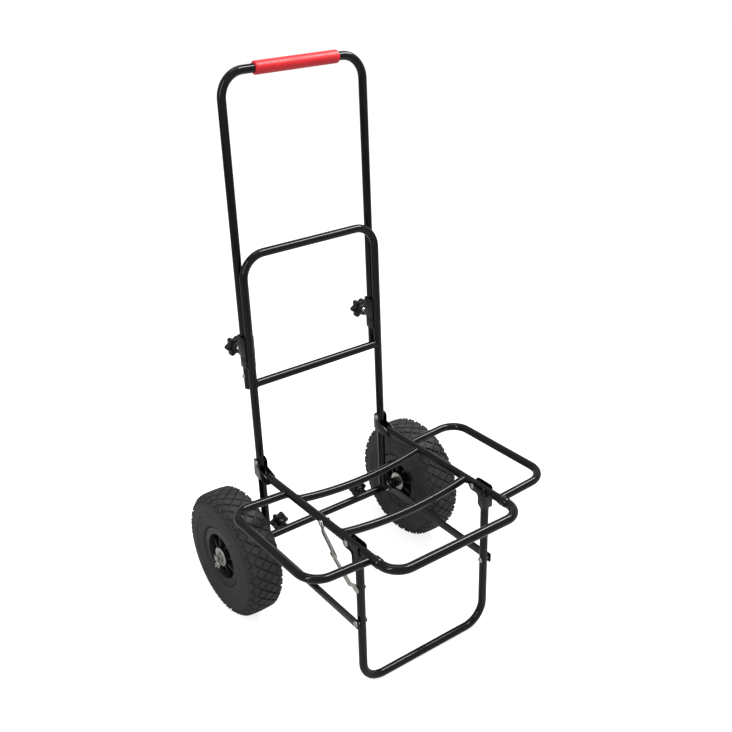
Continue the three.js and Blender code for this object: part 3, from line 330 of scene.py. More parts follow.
def turned(name, section, steps=LATHE_STEPS):
    """A body of revolution about X, from a closed section of [along, radius] pairs."""
    piece = draw(name, [Vector((along, 0, radius)) for along, radius in section])
    bpy.ops.mesh.spin(steps=steps, angle=FULL_TURN, center=(0, 0, 0), axis=X)
    bpy.ops.mesh.select_all(action="SELECT")
    bpy.ops.mesh.remove_doubles(threshold=MERGE_DISTANCE)
    bpy.ops.mesh.dissolve_degenerate(threshold=NO_LENGTH)
    return face_out(piece)


def extruded(name, points, step):
    """A flat outline, filled and drawn out into a solid."""
    piece = draw(name, points)
    bpy.ops.mesh.edge_face_add()
    move_selected(step)
    return face_out(piece)


def sheet(name, outline, start, end):
    """A flat piece between two X places, from an outline of [y, z] pairs."""
    return extruded(name, [Vector((start, y, z)) for y, z in outline], X * (end - start))


def arc(centre_a, centre_b, radius, start, end, count):
    """Points on an arc, in degrees from the first direction towards the second."""
    angles = [math.radians(start + (end - start) * k / count) for k in range(count + 1)]
    return [(centre_a + radius * math.cos(a), centre_b + radius * math.sin(a)) for a in angles]


def reflected(section):
    """A section run backwards on the other side of the middle, to close a symmetric one."""
    return [(-along, radius) for along, radius in section[::-1]]


print("lathe ready:", LATHE_STEPS, "steps in a full turn")

# %% [markdown]
# Each finish has its own material, and its texture comes from small noise made in object space.
# Two effects serve several finishes, so they are node groups: a fine grain, and a blotchy handling wear.
# A group gives out only values, and the shader stays in each material, where its own constants are set.

# %% Shared effects
def add_node(tree, kind, **settings):
    """Add a shader node, and set its sockets and its options by name."""
    node = tree.nodes.new("ShaderNode" + kind)
    for key, value in settings.items():
        if key in node.inputs:
            node.inputs[key].default_value = value
        else:
            setattr(node, key, value)
    return node


def wire(tree, *wires):
    """Link sockets. Each wire is a node, its output, another node and its input."""
    for source, output, target, socket in wires:
        tree.links.new(source.outputs[output], target.inputs[socket])


def new_group(name, inputs, output):
    group = bpy.data.node_groups.new(name, "ShaderNodeTree")
    for label, default in inputs:
        socket = group.interface.new_socket(label, in_out="INPUT", socket_type="NodeSocketFloat")
        socket.default_value = default
    group.interface.new_socket(output, in_out="OUTPUT", socket_type="NodeSocketFloat")
    ends = group.nodes.new("NodeGroupInput"), group.nodes.new("NodeGroupOutput")
    return group, *ends, add_node(group, "TexCoord")


grain, grain_in, grain_out, grain_place = new_group(
    "fine_grain", [("Size", 900.0), ("Detail", 2.0)], "Height")
grain_noise = add_node(grain, "TexNoise")
wire(grain, (grain_place, "Object", grain_noise, "Vector"), (grain_in, "Size", grain_noise, "Scale"),
     (grain_in, "Detail", grain_noise, "Detail"), (grain_noise, "Fac", grain_out, "Height"))

wear, wear_in, wear_out, wear_place = new_group(
    "handling_wear", [("Size", 30.0), ("Low", 0.45), ("High", 0.7)], "Mask")
wear_noise = add_node(wear, "TexNoise", Detail=6.0, Roughness=0.65)
wear_range = add_node(wear, "MapRange", interpolation_type="SMOOTHSTEP")
wire(wear, (wear_place, "Object", wear_noise, "Vector"), (wear_in, "Size", wear_noise, "Scale"),
     (wear_noise, "Fac", wear_range, "Value"), (wear_in, "Low", wear_range, "From Min"),
     (wear_in, "High", wear_range, "From Max"), (wear_range, "Result", wear_out, "Mask"))
print("effects:", grain.name, wear.name)

# %% [markdown]
# One builder sets the common wiring: two near colours and two roughnesses mixed by the wear mask,
# and the grain as a bump. What is the same all over a surface is typed on the shader itself.

# %% Finishes
COAT, ZINC, GRIP = "black_powder_coat", "zinc_plated_steel", "grip_red"
PLASTIC, RUBBER = "black_plastic", "tyre_rubber"
# Each finish has two colours, two roughnesses, the grain's size and depth, and the shader's constants.
FINISH_TABLE = {
    COAT: (((0.0032, 0.0032, 0.0036), (0.0055, 0.0055, 0.006)), (0.10, 0.18), 1400.0, 0.00001,
           {"Specular IOR Level": 0.30}),
    ZINC: (((0.50, 0.49, 0.46), (0.36, 0.35, 0.33)), (0.28, 0.45), 500.0, 0.00003, {"Metallic": 0.95}),
    GRIP: (((0.74, 0.016, 0.024), (0.66, 0.013, 0.020)), (0.42, 0.52), 1600.0, 0.00006, {}),
    PLASTIC: (((0.0065, 0.0065, 0.007), (0.010, 0.010, 0.0105)), (0.34, 0.46), 1200.0, 0.00004,
              {"Specular IOR Level": 0.35}),
    RUBBER: (((0.034, 0.034, 0.035), (0.046, 0.046, 0.047)), (0.58, 0.74), 700.0, 0.00006,
             {"Specular IOR Level": 0.28}),
}
# A colour mix node carries sockets for numbers too, so its colour sockets are known by their places.
MIX_COLOURS = (6, 7)
MIX_RESULT = 2


def finish(name, colours, roughness, grain_size, grain_depth, constants):
    material = bpy.data.materials.new(name)
    material.use_nodes = True
    tree = material.node_tree
    shader = tree.nodes["Principled BSDF"]
    mask = add_node(tree, "Group", node_tree=wear)
    fine = add_node(tree, "Group", node_tree=grain)
    fine.inputs["Size"].default_value = grain_size
    tint = add_node(tree, "Mix", data_type="RGBA")
    for socket, colour in zip(MIX_COLOURS, colours):
        tint.inputs[socket].default_value = (*colour, 1)
    gloss = add_node(tree, "MapRange")
    gloss.inputs["To Min"].default_value, gloss.inputs["To Max"].default_value = roughness
    bump = add_node(tree, "Bump", Strength=1.0, Distance=grain_depth)
    wire(tree, (mask, "Mask", tint, "Factor"), (mask, "Mask", gloss, "Value"),
         (fine, "Height", bump, "Height"), (tint, MIX_RESULT, shader, "Base Color"),
         (gloss, "Result", shader, "Roughness"), (bump, "Normal", shader, "Normal"))
    for socket, value in constants.items():
        shader.inputs[socket].default_value = value
    return material


FINISHES = {name: finish(name, *values) for name, values in FINISH_TABLE.items()}
print("finishes:", ", ".join(FINISHES))


def dress(piece, axes, body, slot, *nodes, name=None, angle=SHARP_ANGLE):
    """Turn a finished piece into place, and give it its shading, its name, the material of its slot and its
    body, then hide the imported parts that it stands for.
    """
    place(piece, axes)
    bpy.ops.object.shade_smooth_by_angle(angle=angle)
    piece.name = name or f"{nodes[0]}_piece"
    piece.data.name = piece.name
    piece.data.materials.clear()
    piece.data.materials.append(FINISHES[slot])
    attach(piece, body)
    if nodes:
        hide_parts(*nodes)
    return piece


def on_both_sides(piece, name, body, slot, axes):
    """Dress a right-hand piece and its mirror image, each standing for its node."""
    for side, part in (("left", mirrored(piece)), ("right", piece)):
        dress(part, axes, body.replace("SIDE", side), slot, f"{name}_{side}")


# %% [markdown]
# A weld leaves a rippled bead in the groove where two tubes meet.
# A ring could be drawn flat, but the groove is saddle shaped, so a torus is bent over the main tube.

# %% Weld beads
BEAD_RADIUS = 0.0015
BEAD_RIPPLES = 22
BEAD_RIPPLE = 0.18


def weld_bead(centre, main_axis, branch_axis, offset=0.0):
    """A bead where a branch tube leaves a main tube, whose centre line it may pass by an offset."""
    bpy.ops.mesh.primitive_torus_add(major_segments=66, minor_segments=8, major_radius=TUBE_RADIUS,
                                     minor_radius=BEAD_RADIUS)
    bead = fresh("weld_bead")
    for vertex in bead.data.vertices:
        angle = math.atan2(vertex.co.y, vertex.co.x)
        beside = TUBE_RADIUS * math.sin(angle) + offset
        saddle = math.sqrt(max(TUBE_RADIUS**2 - beside**2, BEAD_RADIUS**2))
        swell = 1 + BEAD_RIPPLE * math.sin(BEAD_RIPPLES * angle)
        vertex.co.z = vertex.co.z * swell + saddle
    across = branch_axis.cross(main_axis)
    axes = Matrix((main_axis, across, branch_axis)).transposed().to_4x4()
    return place(bead, moved(centre + across * offset) @ axes)


def weld_on(piece, joints):
    """Cope a tube where it meets others, and run a bead round each joint."""
    for centre, main_axis, *_ in joints:
        cope(piece, centre, main_axis * PAST_TUBE)
    join_to(piece, [weld_bead(*joint) for joint in joints])


print("weld bead:", BEAD_RADIUS, "thick, with", BEAD_RIPPLES, "ripples")

# %% [markdown]
# The back frame is one tube bent into a tall U, with its feet shaped to sit on the axle tube.
# The crossbar stands between its uprights, with a weld bead at each end.

# %% Back frame
BACK_HEIGHT = 0.601
BACK_BAR_HEIGHT = 0.3475

back_frame = u_tube("back_frame", (0, 0), (0, BACK_HEIGHT))
cope(back_frame, Vector(), X * (HALF_WIDTH + PAST_TUBE))
join_to(back_frame, [weld_bead(side_point(side, 0, 0), X, Z) for side in BOTH])

bar_ends = [side_point(side, 0, BACK_BAR_HEIGHT) for side in BOTH]
crossbar = rod("back_crossbar", *bar_ends)
weld_on(crossbar, [(end, Z, -side * X) for side, end in zip(BOTH, bar_ends)])
for piece, node in ((back_frame, "back_frame"), (crossbar, "back_crossbar")):
    dress(piece, BACK_AXES, "frame", COAT, node)
print("back frame faces:", len(back_frame.data.polygons))

# %% [markdown]
# The handle is a second, taller U that slides down behind the back frame.
# Its feet carry plugs, and a small bolt in each leg stops it from being drawn out of the clamps.

# %% Handle
HANDLE_SET_BACK = 0.0185
HANDLE_TOP = 0.923
HANDLE_FOOT = 0.335
PLUG_CAP = 0.002
PLUG_DEPTH = 0.004
PLUG_SEAM = 0.0003
PLUG_CAP_SHARE = 0.86
PLUG_CURL_SHARE = 0.4
PLUG_NECK_SHARE = 0.8
STOP_BOLT_HEIGHT = 0.360
STOP_BOLT_SHANK = 0.0025
STOP_BOLT_RADIUS = 0.0045
STOP_BOLT_HEAD = 0.0035
OUTER_FACE = HALF_WIDTH + TUBE_RADIUS

handle = u_tube("handle_frame", (HANDLE_SET_BACK, HANDLE_FOOT), (HANDLE_SET_BACK, HANDLE_TOP))
dress(handle, BACK_AXES, "handle", COAT, "handle_frame")


def dome(face, shank, head, height, steps=5):
    """Half a rivet's section: a shank on the axis and a domed head that stands on a face."""
    curve = [(face + height * math.sin(QUARTER * k / steps), head * math.cos(QUARTER * k / steps))
             for k in range(steps)]
    return [(face + height, 0)] + curve[::-1] + [(face, shank)]


# A plug is turned on X, and stood upright with its cap below the tube's end.
plug_neck = TUBE_RADIUS * PLUG_NECK_SHARE
plug = turned("handle_plug", [
    (-PLUG_CAP, 0), (-PLUG_CAP, TUBE_RADIUS * PLUG_CAP_SHARE), (-PLUG_CAP * PLUG_CURL_SHARE, TUBE_RADIUS),
    (-PLUG_SEAM, TUBE_RADIUS), (-PLUG_SEAM, plug_neck), (PLUG_DEPTH, plug_neck), (PLUG_DEPTH, 0)])
place(plug, rotated(-QUARTER, "Y"))
bolt_end = OUTER_FACE - TUBE_WALL
bolt = turned("handle_stop_bolt", dome(OUTER_FACE, STOP_BOLT_SHANK, STOP_BOLT_RADIUS, STOP_BOLT_HEAD)
              + [(bolt_end, STOP_BOLT_SHANK), (bolt_end, 0)])
for name, side in SIDES:
    dress(copy_of(plug), BACK_AXES @ moved(side_point(side, HANDLE_SET_BACK, HANDLE_FOOT)),
          "handle", PLASTIC, f"handle_plug_{name}")
on_both_sides(bolt, "handle_stop_bolt", "handle", ZINC,
              BACK_AXES @ moved((0, HANDLE_SET_BACK, STOP_BOLT_HEIGHT)))
scrap(plug)
print("handle faces:", len(handle.data.polygons))

# %% [markdown]
# The grip is a foam sleeve pushed on along the handle's top, with soft round ends.

# %% Grip
GRIP_RADIUS = 0.012
GRIP_LENGTH = 0.176
GRIP_SHIFT = 0.006
GRIP_ROUNDING = 0.0032
GRIP_BORE = 0.0081

grip_half = GRIP_LENGTH / 2
end_curve = arc(grip_half - GRIP_ROUNDING, GRIP_RADIUS - GRIP_ROUNDING, GRIP_ROUNDING, 90, 0, 6)
grip = turned("handle_grip", end_curve + [(grip_half, GRIP_BORE), (-grip_half, GRIP_BORE)]
              + reflected(end_curve), steps=64)
dress(grip, BACK_AXES @ moved((GRIP_SHIFT, HANDLE_SET_BACK, HANDLE_TOP)), "handle", GRIP, "handle_grip")
print("grip box:", grip.bound_box[0][:], grip.bound_box[6][:])

# %% [markdown]
# A star knob is a moulded head with six bold round lobes, on a steel screw.
# A many-sided disc is pushed in and out to give the lobes. It is then raised in steps, and each step
# is scaled about the middle, so the edge turns over softly and the lobes keep their shape.

# %% Star knobs
KNOB_RADIUS = 0.020
KNOB_LOBES = 6
KNOB_LOBE_DEPTH = 0.0029
KNOB_LOBE_FULLNESS = 0.8
KNOB_HEAD = 0.014
KNOB_BOSS = 0.007
KNOB_BOSS_RADIUS = 0.010
KNOB_BOSS_LAP = 0.002
KNOB_BOSS_EDGE = 0.0008
KNOB_BOSS_SHOULDER_SHARE = 0.86
KNOB_BOSS_END_SHARE = 0.78
KNOB_POINTS = 96
KNOB_FOOT_SHARE = 0.90
# Each step gives a height as a share of the head, and a width as a share of the widest outline.
KNOB_STEPS = ((0.04, 0.955), (0.14, 1.0), (0.70, 1.0), (0.84, 0.985), (0.94, 0.94), (0.99, 0.87), (1.0, 0.79),
              (0.985, 0.60), (0.93, 0.52), (0.93, 0.10))
SCREW_RADIUS = 0.004
THREAD_PITCH = 0.00125
THREAD_DEPTH = 0.0006
THREAD_ANGLE = math.radians(20)

knob = disc("star_knob", Vector(), Z, KNOB_RADIUS, KNOB_POINTS)
only(knob)
for vertex in knob.data.vertices:
    lobe = math.cos(KNOB_LOBES * math.atan2(vertex.co.y, vertex.co.x))
    fuller = math.copysign(abs(lobe) ** KNOB_LOBE_FULLNESS, lobe)
    vertex.co *= KNOB_FOOT_SHARE * (1 - KNOB_LOBE_DEPTH / KNOB_RADIUS * (1 - fuller))
edit(knob)
rise_before, width_before = 0, KNOB_FOOT_SHARE
for rise, width in KNOB_STEPS:
    move_selected(Z * (rise - rise_before) * KNOB_HEAD)
    bpy.ops.transform.resize(value=(width / width_before, width / width_before, 1), center_override=(0, 0, 0))
    rise_before, width_before = rise, width
face_out(knob)
boss = turned("knob_boss", [
    (KNOB_BOSS_LAP, 0), (KNOB_BOSS_LAP, KNOB_BOSS_RADIUS),
    (-KNOB_BOSS + KNOB_BOSS_EDGE, KNOB_BOSS_RADIUS * KNOB_BOSS_SHOULDER_SHARE),
    (-KNOB_BOSS, KNOB_BOSS_RADIUS * KNOB_BOSS_END_SHARE), (-KNOB_BOSS, 0)])
join_to(knob, [place(boss, rotated(-QUARTER, "Y"))])
place(knob, rotated(-QUARTER, "X"))
print("knob lobes:", KNOB_LOBES, "faces:", len(knob.data.polygons))


def knob_screw(length):
    """A threaded screw along Y from its tip at zero."""
    teeth = round(length / THREAD_PITCH)
    root = SCREW_RADIUS - THREAD_DEPTH
    section = [(0, 0), (0, root)]
    for k in range(teeth):
        section += [((k + 0.5) * THREAD_PITCH, SCREW_RADIUS), ((k + 1) * THREAD_PITCH, root)]
    section += [(teeth * THREAD_PITCH + KNOB_BOSS, root), (teeth * THREAD_PITCH + KNOB_BOSS, 0)]
    return place(turned("knob_screw", section, steps=24), rotated(QUARTER, "Z"))


def knob_set(name, tip, screw_length, axes):
    body = f"{name}_turn"
    dress(copy_of(knob), axes @ moved(tip + Y * (screw_length + KNOB_BOSS)), body, PLASTIC, name)
    dress(knob_screw(screw_length), axes @ moved(tip), body, ZINC, name=f"{name}_screw", angle=THREAD_ANGLE)


# %% [markdown]
# A folded channel holds each handle leg against its upright. Its lower part is a close round strap,
# and its upper part is a squarer block that carries the hex nut for the knob's screw.
# Short tack welds run down the seams where it meets the upright.

# %% Handle clamps
SHEET = 0.002
SHEET_EDGE = 0.0005
SEAT_GAP = 0.0003
CLAMP_FOOT = 0.381
CLAMP_STEP = 0.404
CLAMP_TOP = 0.444
CLAMP_KNOB_HEIGHT = 0.408
CLAMP_LAP = 0.0075
CLAMP_BLOCK_CORNER = 0.0045
CLAMP_BLOCK_WALL = SHEET + 0.0004
CLAMP_STRAP_CORNER = 0.0088
CLAMP_STRAP_LAP = 0.001
CLAMP_SCREW_SHOWING = 0.012
NUT_RADIUS = 0.008
NUT_HEIGHT = 0.006
NUT_EDGE = 0.0007
TACK_HEIGHTS = (0.393, 0.436)
TACK_LENGTH = 0.008
TACK_RADIUS = 0.0012
TACK_RIPPLE = 0.12
TACK_STEPS = 16

inside = TUBE_RADIUS + SEAT_GAP
outside = inside + SHEET
lip = TUBE_RADIUS - CLAMP_LAP
clamp_floor = HANDLE_SET_BACK + inside


def hex_nut(start, end):
    return round_edges(rod("hex_nut", start, end, NUT_RADIUS, sides=6), NUT_EDGE)


def channel_half(wall, corner):
    """Half of a channel's outline, at a distance outside its hollow."""
    return [(inside + wall, lip)] + arc(
        inside + wall - corner, clamp_floor + wall - corner, corner, 0, 90, 8)


def channel(name, corner, wall, foot, top):
    """A length of square-bottomed or round-bottomed channel, from its plan outline."""
    outer, inner = channel_half(wall, corner), channel_half(0, corner - wall / 2)
    outline = outer + reflected(outer) + (inner + reflected(inner))[::-1]
    piece = extruded(name, [Vector((x, y, foot)) for x, y in outline], Z * (top - foot))
    return round_edges(piece, SHEET_EDGE)


def tack(at):
    """A short rippled run of weld along Z."""
    half = TACK_LENGTH / 2
    ripples = [(TACK_LENGTH * (k / TACK_STEPS - 0.5),
                TACK_RADIUS * math.sin(math.pi * k / TACK_STEPS) ** 0.5 * (1 + TACK_RIPPLE * (-1) ** k))
               for k in range(1, TACK_STEPS)]
    run = turned("tack_weld", [(-half, 0)] + ripples + [(half, 0)], steps=12)
    return place(run, moved(at) @ rotated(QUARTER, "Y"))


clamp = channel("clamp_strap", CLAMP_STRAP_CORNER, SHEET, CLAMP_FOOT, CLAMP_STEP + CLAMP_STRAP_LAP)
block = channel("clamp_block", CLAMP_BLOCK_CORNER, CLAMP_BLOCK_WALL, CLAMP_STEP, CLAMP_TOP)
nut_face = clamp_floor + SHEET + NUT_HEIGHT
knob_height = Z * CLAMP_KNOB_HEIGHT
nut = hex_nut(knob_height + Y * (clamp_floor + SHEET / 2), knob_height + Y * nut_face)
join_to(clamp, [block, nut] + [tack(Vector((side * (TUBE_RADIUS + TACK_RADIUS / 2), lip, height)))
                               for side in BOTH for height in TACK_HEIGHTS])
screw_tip = HANDLE_SET_BACK + inside
screw_length = nut_face - screw_tip + CLAMP_SCREW_SHOWING
for name, side in SIDES:
    dress(copy_of(clamp), BACK_AXES @ moved(side_point(side, 0, 0)), "frame", COAT, f"handle_clamp_{name}")
    knob_set(f"handle_knob_{name}", side_point(side, screw_tip, CLAMP_KNOB_HEIGHT), screw_length, BACK_AXES)
scrap(clamp)
print("clamp screw length:", round(screw_length, 4))

# %% [markdown]
# The axle tube lies across the bottom. It is open at both ends, and its two knobs clamp the stub axles
# inside it through welded nuts.

# %% Axle tube
AXLE_RADIUS = 0.006
AXLE_CLAMP_PLACE = 0.102
AXLE_SCREW_SHOWING = 0.003
NUT_SINK_SHARE = 0.8

axle_tube = rod("axle_tube", -X * OUTER_FACE, X * OUTER_FACE)
for side in BOTH:
    open_end(axle_tube, side * X * OUTER_FACE, side * X)
axle_nut_face = TUBE_RADIUS + NUT_HEIGHT
join_to(axle_tube, [hex_nut(X * side * AXLE_CLAMP_PLACE + Y * TUBE_RADIUS * NUT_SINK_SHARE,
                            X * side * AXLE_CLAMP_PLACE + Y * axle_nut_face) for side in BOTH])
dress(axle_tube, AXLE_AXES, "frame", COAT, "axle_tube")
axle_screw_tip = AXLE_RADIUS + SEAT_GAP
for name, side in SIDES:
    knob_set(f"axle_knob_{name}", Vector((side * AXLE_CLAMP_PLACE, axle_screw_tip, 0)),
             axle_nut_face - axle_screw_tip + AXLE_SCREW_SHOWING, AXLE_AXES)
scrap(knob)
print("axle tube faces:", len(axle_tube.data.polygons), "screw tip at", axle_screw_tip)

# %% [markdown]
# Outside the uprights each stub axle carries a brace, a spacer, the wheel, a washer and a split pin.
# All are made for the right-hand side and mirrored, as a shop would make one of each pair first.
# The split pin's eye hangs below the axle, and its two legs are spread outwards.

# %% Stub axles and what they carry
AXLE_INSET = 0.074
AXLE_END = 0.270
AXLE_CHAMFER = 0.0015
COLLAR_RADIUS = 0.011
WHEEL_PLANE = 0.224
HUB_HALF = 0.0355
BRACE_FACE = 0.160
BRACE_THICKNESS = 0.003
SPACER_EDGE = 0.0008
WASHER_RADIUS = 0.0102
WASHER_THICKNESS = 0.0022
WASHER_EDGE = 0.0004
PIN_WIRE = 0.0014
PIN_PLACE = 0.2656
PIN_EYE = 0.0068
PIN_BEND = 0.0022
PIN_HEAD = 0.006
PIN_NECK = 0.003
# The eye's corners, as shares of its size across the axle and below the pin's neck.
PIN_LOOP = ((-1, 1), (-0.8, 2), (0.4, 2.3), (1, 1.6), (0.5, 0.8))
PIN_LEG = 0.0063
PIN_LEG_GAP = 0.006
PIN_LEG_RUN = 0.002
PIN_LEG_BEND = 0.0016
PIN_LEG_FALL = 0.6
PIN_LEG_WIRE_SHARE = 0.7

collar_from = OUTER_FACE + SEAT_GAP
collar_to = BRACE_FACE - SEAT_GAP
stub = turned("stub_axle", [
    (AXLE_INSET, 0), (AXLE_INSET, AXLE_RADIUS), (collar_from, AXLE_RADIUS), (collar_from, COLLAR_RADIUS),
    (collar_to, COLLAR_RADIUS), (collar_to, AXLE_RADIUS), (AXLE_END - AXLE_CHAMFER, AXLE_RADIUS),
    (AXLE_END, AXLE_RADIUS - AXLE_CHAMFER), (AXLE_END, 0)])
on_both_sides(stub, "stub_axle", "frame", ZINC, AXLE_AXES)

hub_inner = WHEEL_PLANE - HUB_HALF
washer_face = WHEEL_PLANE + HUB_HALF + SEAT_GAP
bore = AXLE_RADIUS + SEAT_GAP
for name, start, end, radius, edge, slot in (
        ("axle_spacer", BRACE_FACE + BRACE_THICKNESS + SEAT_GAP, hub_inner - SEAT_GAP, COLLAR_RADIUS,
         SPACER_EDGE, PLASTIC),
        ("axle_washer", washer_face, washer_face + WASHER_THICKNESS, WASHER_RADIUS, WASHER_EDGE, ZINC)):
    ring = turned(name, [(start, bore), (start, radius), (end, radius), (end, bore)])
    on_both_sides(round_edges(ring, edge), name, "frame", slot, AXLE_AXES)

pin_top = AXLE_RADIUS + 2 * PIN_WIRE
pin_foot = -AXLE_RADIUS - PIN_WIRE
pin = bent_tube(
    "split_pin", [(PIN_PLACE + PIN_HEAD, 0, pin_top + PIN_WIRE), (PIN_PLACE, 0, pin_top),
                  (PIN_PLACE, 0, pin_foot - PIN_NECK)]
    + [(PIN_PLACE, across * PIN_EYE, pin_foot - down * PIN_EYE) for across, down in PIN_LOOP],
    bend=PIN_BEND, radius=PIN_WIRE, sides=12, bend_steps=8)
join_to(pin, [bent_tube("pin_leg", [(PIN_PLACE, 0, start), (PIN_PLACE, 0, start - PIN_LEG_RUN),
                                    (PIN_PLACE + PIN_LEG, 0, start - PIN_LEG_RUN - PIN_LEG * PIN_LEG_FALL)],
                        bend=PIN_LEG_BEND, radius=PIN_WIRE * PIN_LEG_WIRE_SHARE, sides=10, bend_steps=6)
              for start in (pin_foot, pin_foot - PIN_LEG_GAP)])
on_both_sides(pin, "split_pin", "frame", ZINC, AXLE_AXES)
print("stub axle ends at", AXLE_END, "pin faces:", len(pin.data.polygons))

# %% [markdown]
# A tyre could be a plain torus with a bump for its tread, but the blocks show in its outline.
# So its section is drawn from the lip beside the rim, up the sidewall and over the crown, and is spun.
# The sidewall keeps what the mould leaves: a fine groove, a raised band and a rib under the shoulder.

# %% Tyre carcass
TREAD_DEPTH = 0.004
TYRE_STEPS = 136
# Points of the tread's face from the middle of the crown to the end of the lugs, as [across, radius].
TREAD_LINES = ((0.0, 0.130), (0.0136, 0.12973), (0.027, 0.12853), (0.036, 0.12041), (0.0386, 0.1122))
WIDEST_RADIUS = 0.0975
WALL_HALF = 0.0396
WALL_FOOT = 0.0668
WALL_STEPS = 56
CROWN_STEPS = 4
LIP_POINTS = [(0.0300, 0.0560), (0.0302, 0.0622), (0.0318, 0.0629), (0.0340, 0.0638), (0.0358, 0.0652)]
# How far the wall bows in below and above its widest place, and over what height.
WALL_BOWS = ((0.0026, 0.030), (0.0010, 0.0147))
# The raised band starts and ends at these radii, each with its own softness.
BAND_HEIGHT = 0.0005
BAND_START, BAND_START_SOFT = 0.0872, 0.0003
BAND_END, BAND_END_SOFT = 0.0985, 0.0004
# A groove beside the band and a rib under the shoulder, as [radius, height, width].
MOULD_LINES = ((0.0864, -0.0005, 0.0006), (0.1098, 0.0005, 0.0007))


def sunk(number, depth):
    """A tread line's point, sunk square to the section. A negative number is the other side."""
    across, radius = TREAD_LINES[abs(number)]
    before = TREAD_LINES[max(abs(number) - 1, 0)]
    after = TREAD_LINES[min(abs(number) + 1, len(TREAD_LINES) - 1)]
    along = Vector((after[0] - before[0], after[1] - before[1])) if number else Vector((1, 0))
    inward = Vector((along.y, -along.x)).normalized() * depth
    return math.copysign(1, number) * (across + inward.x), radius + inward.y


def smooth_through(points, steps):
    """A smooth curve through the given points."""
    ends = [points[0]] + points + [points[-1]]
    curve = []
    for corners in zip(ends, ends[1:], ends[2:], ends[3:]):
        for k in range(steps):
            t = k / steps
            curve.append(tuple(
                b + t * (c - a) / 2 + t**2 * (a - 2.5 * b + 2 * c - d / 2)
                + t**3 * (1.5 * (b - c) + (d - a) / 2) for a, b, c, d in zip(*corners)))
    return curve + [points[-1]]


def wall_half(radius):
    """Half the tyre's width at a radius on the sidewall."""
    from_widest = radius - WIDEST_RADIUS
    depth, height = WALL_BOWS[from_widest >= 0]
    band = (BAND_HEIGHT / (1 + math.exp(-(radius - BAND_START) / BAND_START_SOFT))
            / (1 + math.exp((radius - BAND_END) / BAND_END_SOFT)))
    half = WALL_HALF - depth * (from_widest / height) ** 2 + band
    for line, rise, width in MOULD_LINES:
        half += rise * math.exp(-(((radius - line) / width) ** 2))
    return half


wall_radii = [WALL_FOOT + (TREAD_LINES[-1][1] - WALL_FOOT) * k / WALL_STEPS for k in range(WALL_STEPS + 1)]
wall_points = [(wall_half(radius), radius) for radius in wall_radii]
crown_points = smooth_through(
    [wall_points[-1]] + [sunk(number, TREAD_DEPTH) for number in range(3, -1, -1)], CROWN_STEPS)
half_section = LIP_POINTS + wall_points + crown_points[1:]
carcass = turned("tyre", half_section + reflected(half_section[:-1]), steps=TYRE_STEPS)
print("points in half the tyre's section:", len(half_section))

# %% [markdown]
# The mould's air vents leave small nubs on the sidewall. One is turned and copied round both walls.

# %% Vent nubs
NUB_COUNT = 12
NUB_RING = 0.090
NUB_RADIUS = 0.0012
NUB_TIP = 0.0418
NUB_START = math.radians(10)
# The nub's section from inside the wall to its tip, as [place, share of its radius].
NUB_SECTION = ((0.0385, 0), (0.0385, 1.5), (0.0404, 1), (NUB_TIP - 0.0004, 0.9), (NUB_TIP, 0.5), (NUB_TIP, 0))

nub = turned("vent_nub", [(place_x, NUB_RADIUS * share) for place_x, share in NUB_SECTION], steps=8)
place(nub, moved(Y * NUB_RING))
nub_pair = nub, mirrored(nub)
join_to(carcass, [place(copy_of(model), rotated(NUB_START + FULL_TURN * k / NUB_COUNT, "X"))
                  for k in range(NUB_COUNT) for model in nub_pair])
scrap(*nub_pair)
print("carcass faces:", len(carcass.data.polygons))

# %% [markdown]
# The tread is a net of diamonds. Poking every square of a grid makes four triangles in it, and dissolving
# the grid's own lines leaves diamonds that fit together over the whole crown.
# The grid lies below the carcass. Each diamond is inset for its groove, raised through the carcass as a
# tapered block with a small chamfer, and crowned a little in the middle.

# %% Tyre tread
TREAD_COLUMNS = 34
TREAD_PHASE = 0.17
BLOCK_RISE = 0.0048
GROOVE_HALF = 0.0009
BLOCK_TAPER = 0.0008
BLOCK_CHAMFER = 0.0004
BLOCK_CROWN = 0.0002
LINE_TOLERANCE = 1e-5
UNDER_LINE = [(-0.030, 0.108), (0, 0.118), (0.030, 0.108)]

last_line = len(TREAD_LINES) - 1
tread_base = {number: sunk(number, BLOCK_RISE) for number in range(-last_line, last_line + 1)}
grid_line = [tread_base[number] for number in range(last_line, -last_line - 1, -2)]
tread = turned("tyre_tread", grid_line + UNDER_LINE, steps=TREAD_COLUMNS)


def on_lines(vertex, lines):
    """Whether a vertex lies on one of these lines round the tyre."""
    at = vertex.co.x, math.hypot(vertex.co.y, vertex.co.z)
    return any(math.dist(at, line) < LINE_TOLERANCE for line in lines)


def lies_on(item, lines):
    """Whether an edge or a face of the tread has all its corners on these lines."""
    return all(on_lines(tread.data.vertices[index], lines) for index in item.vertices)


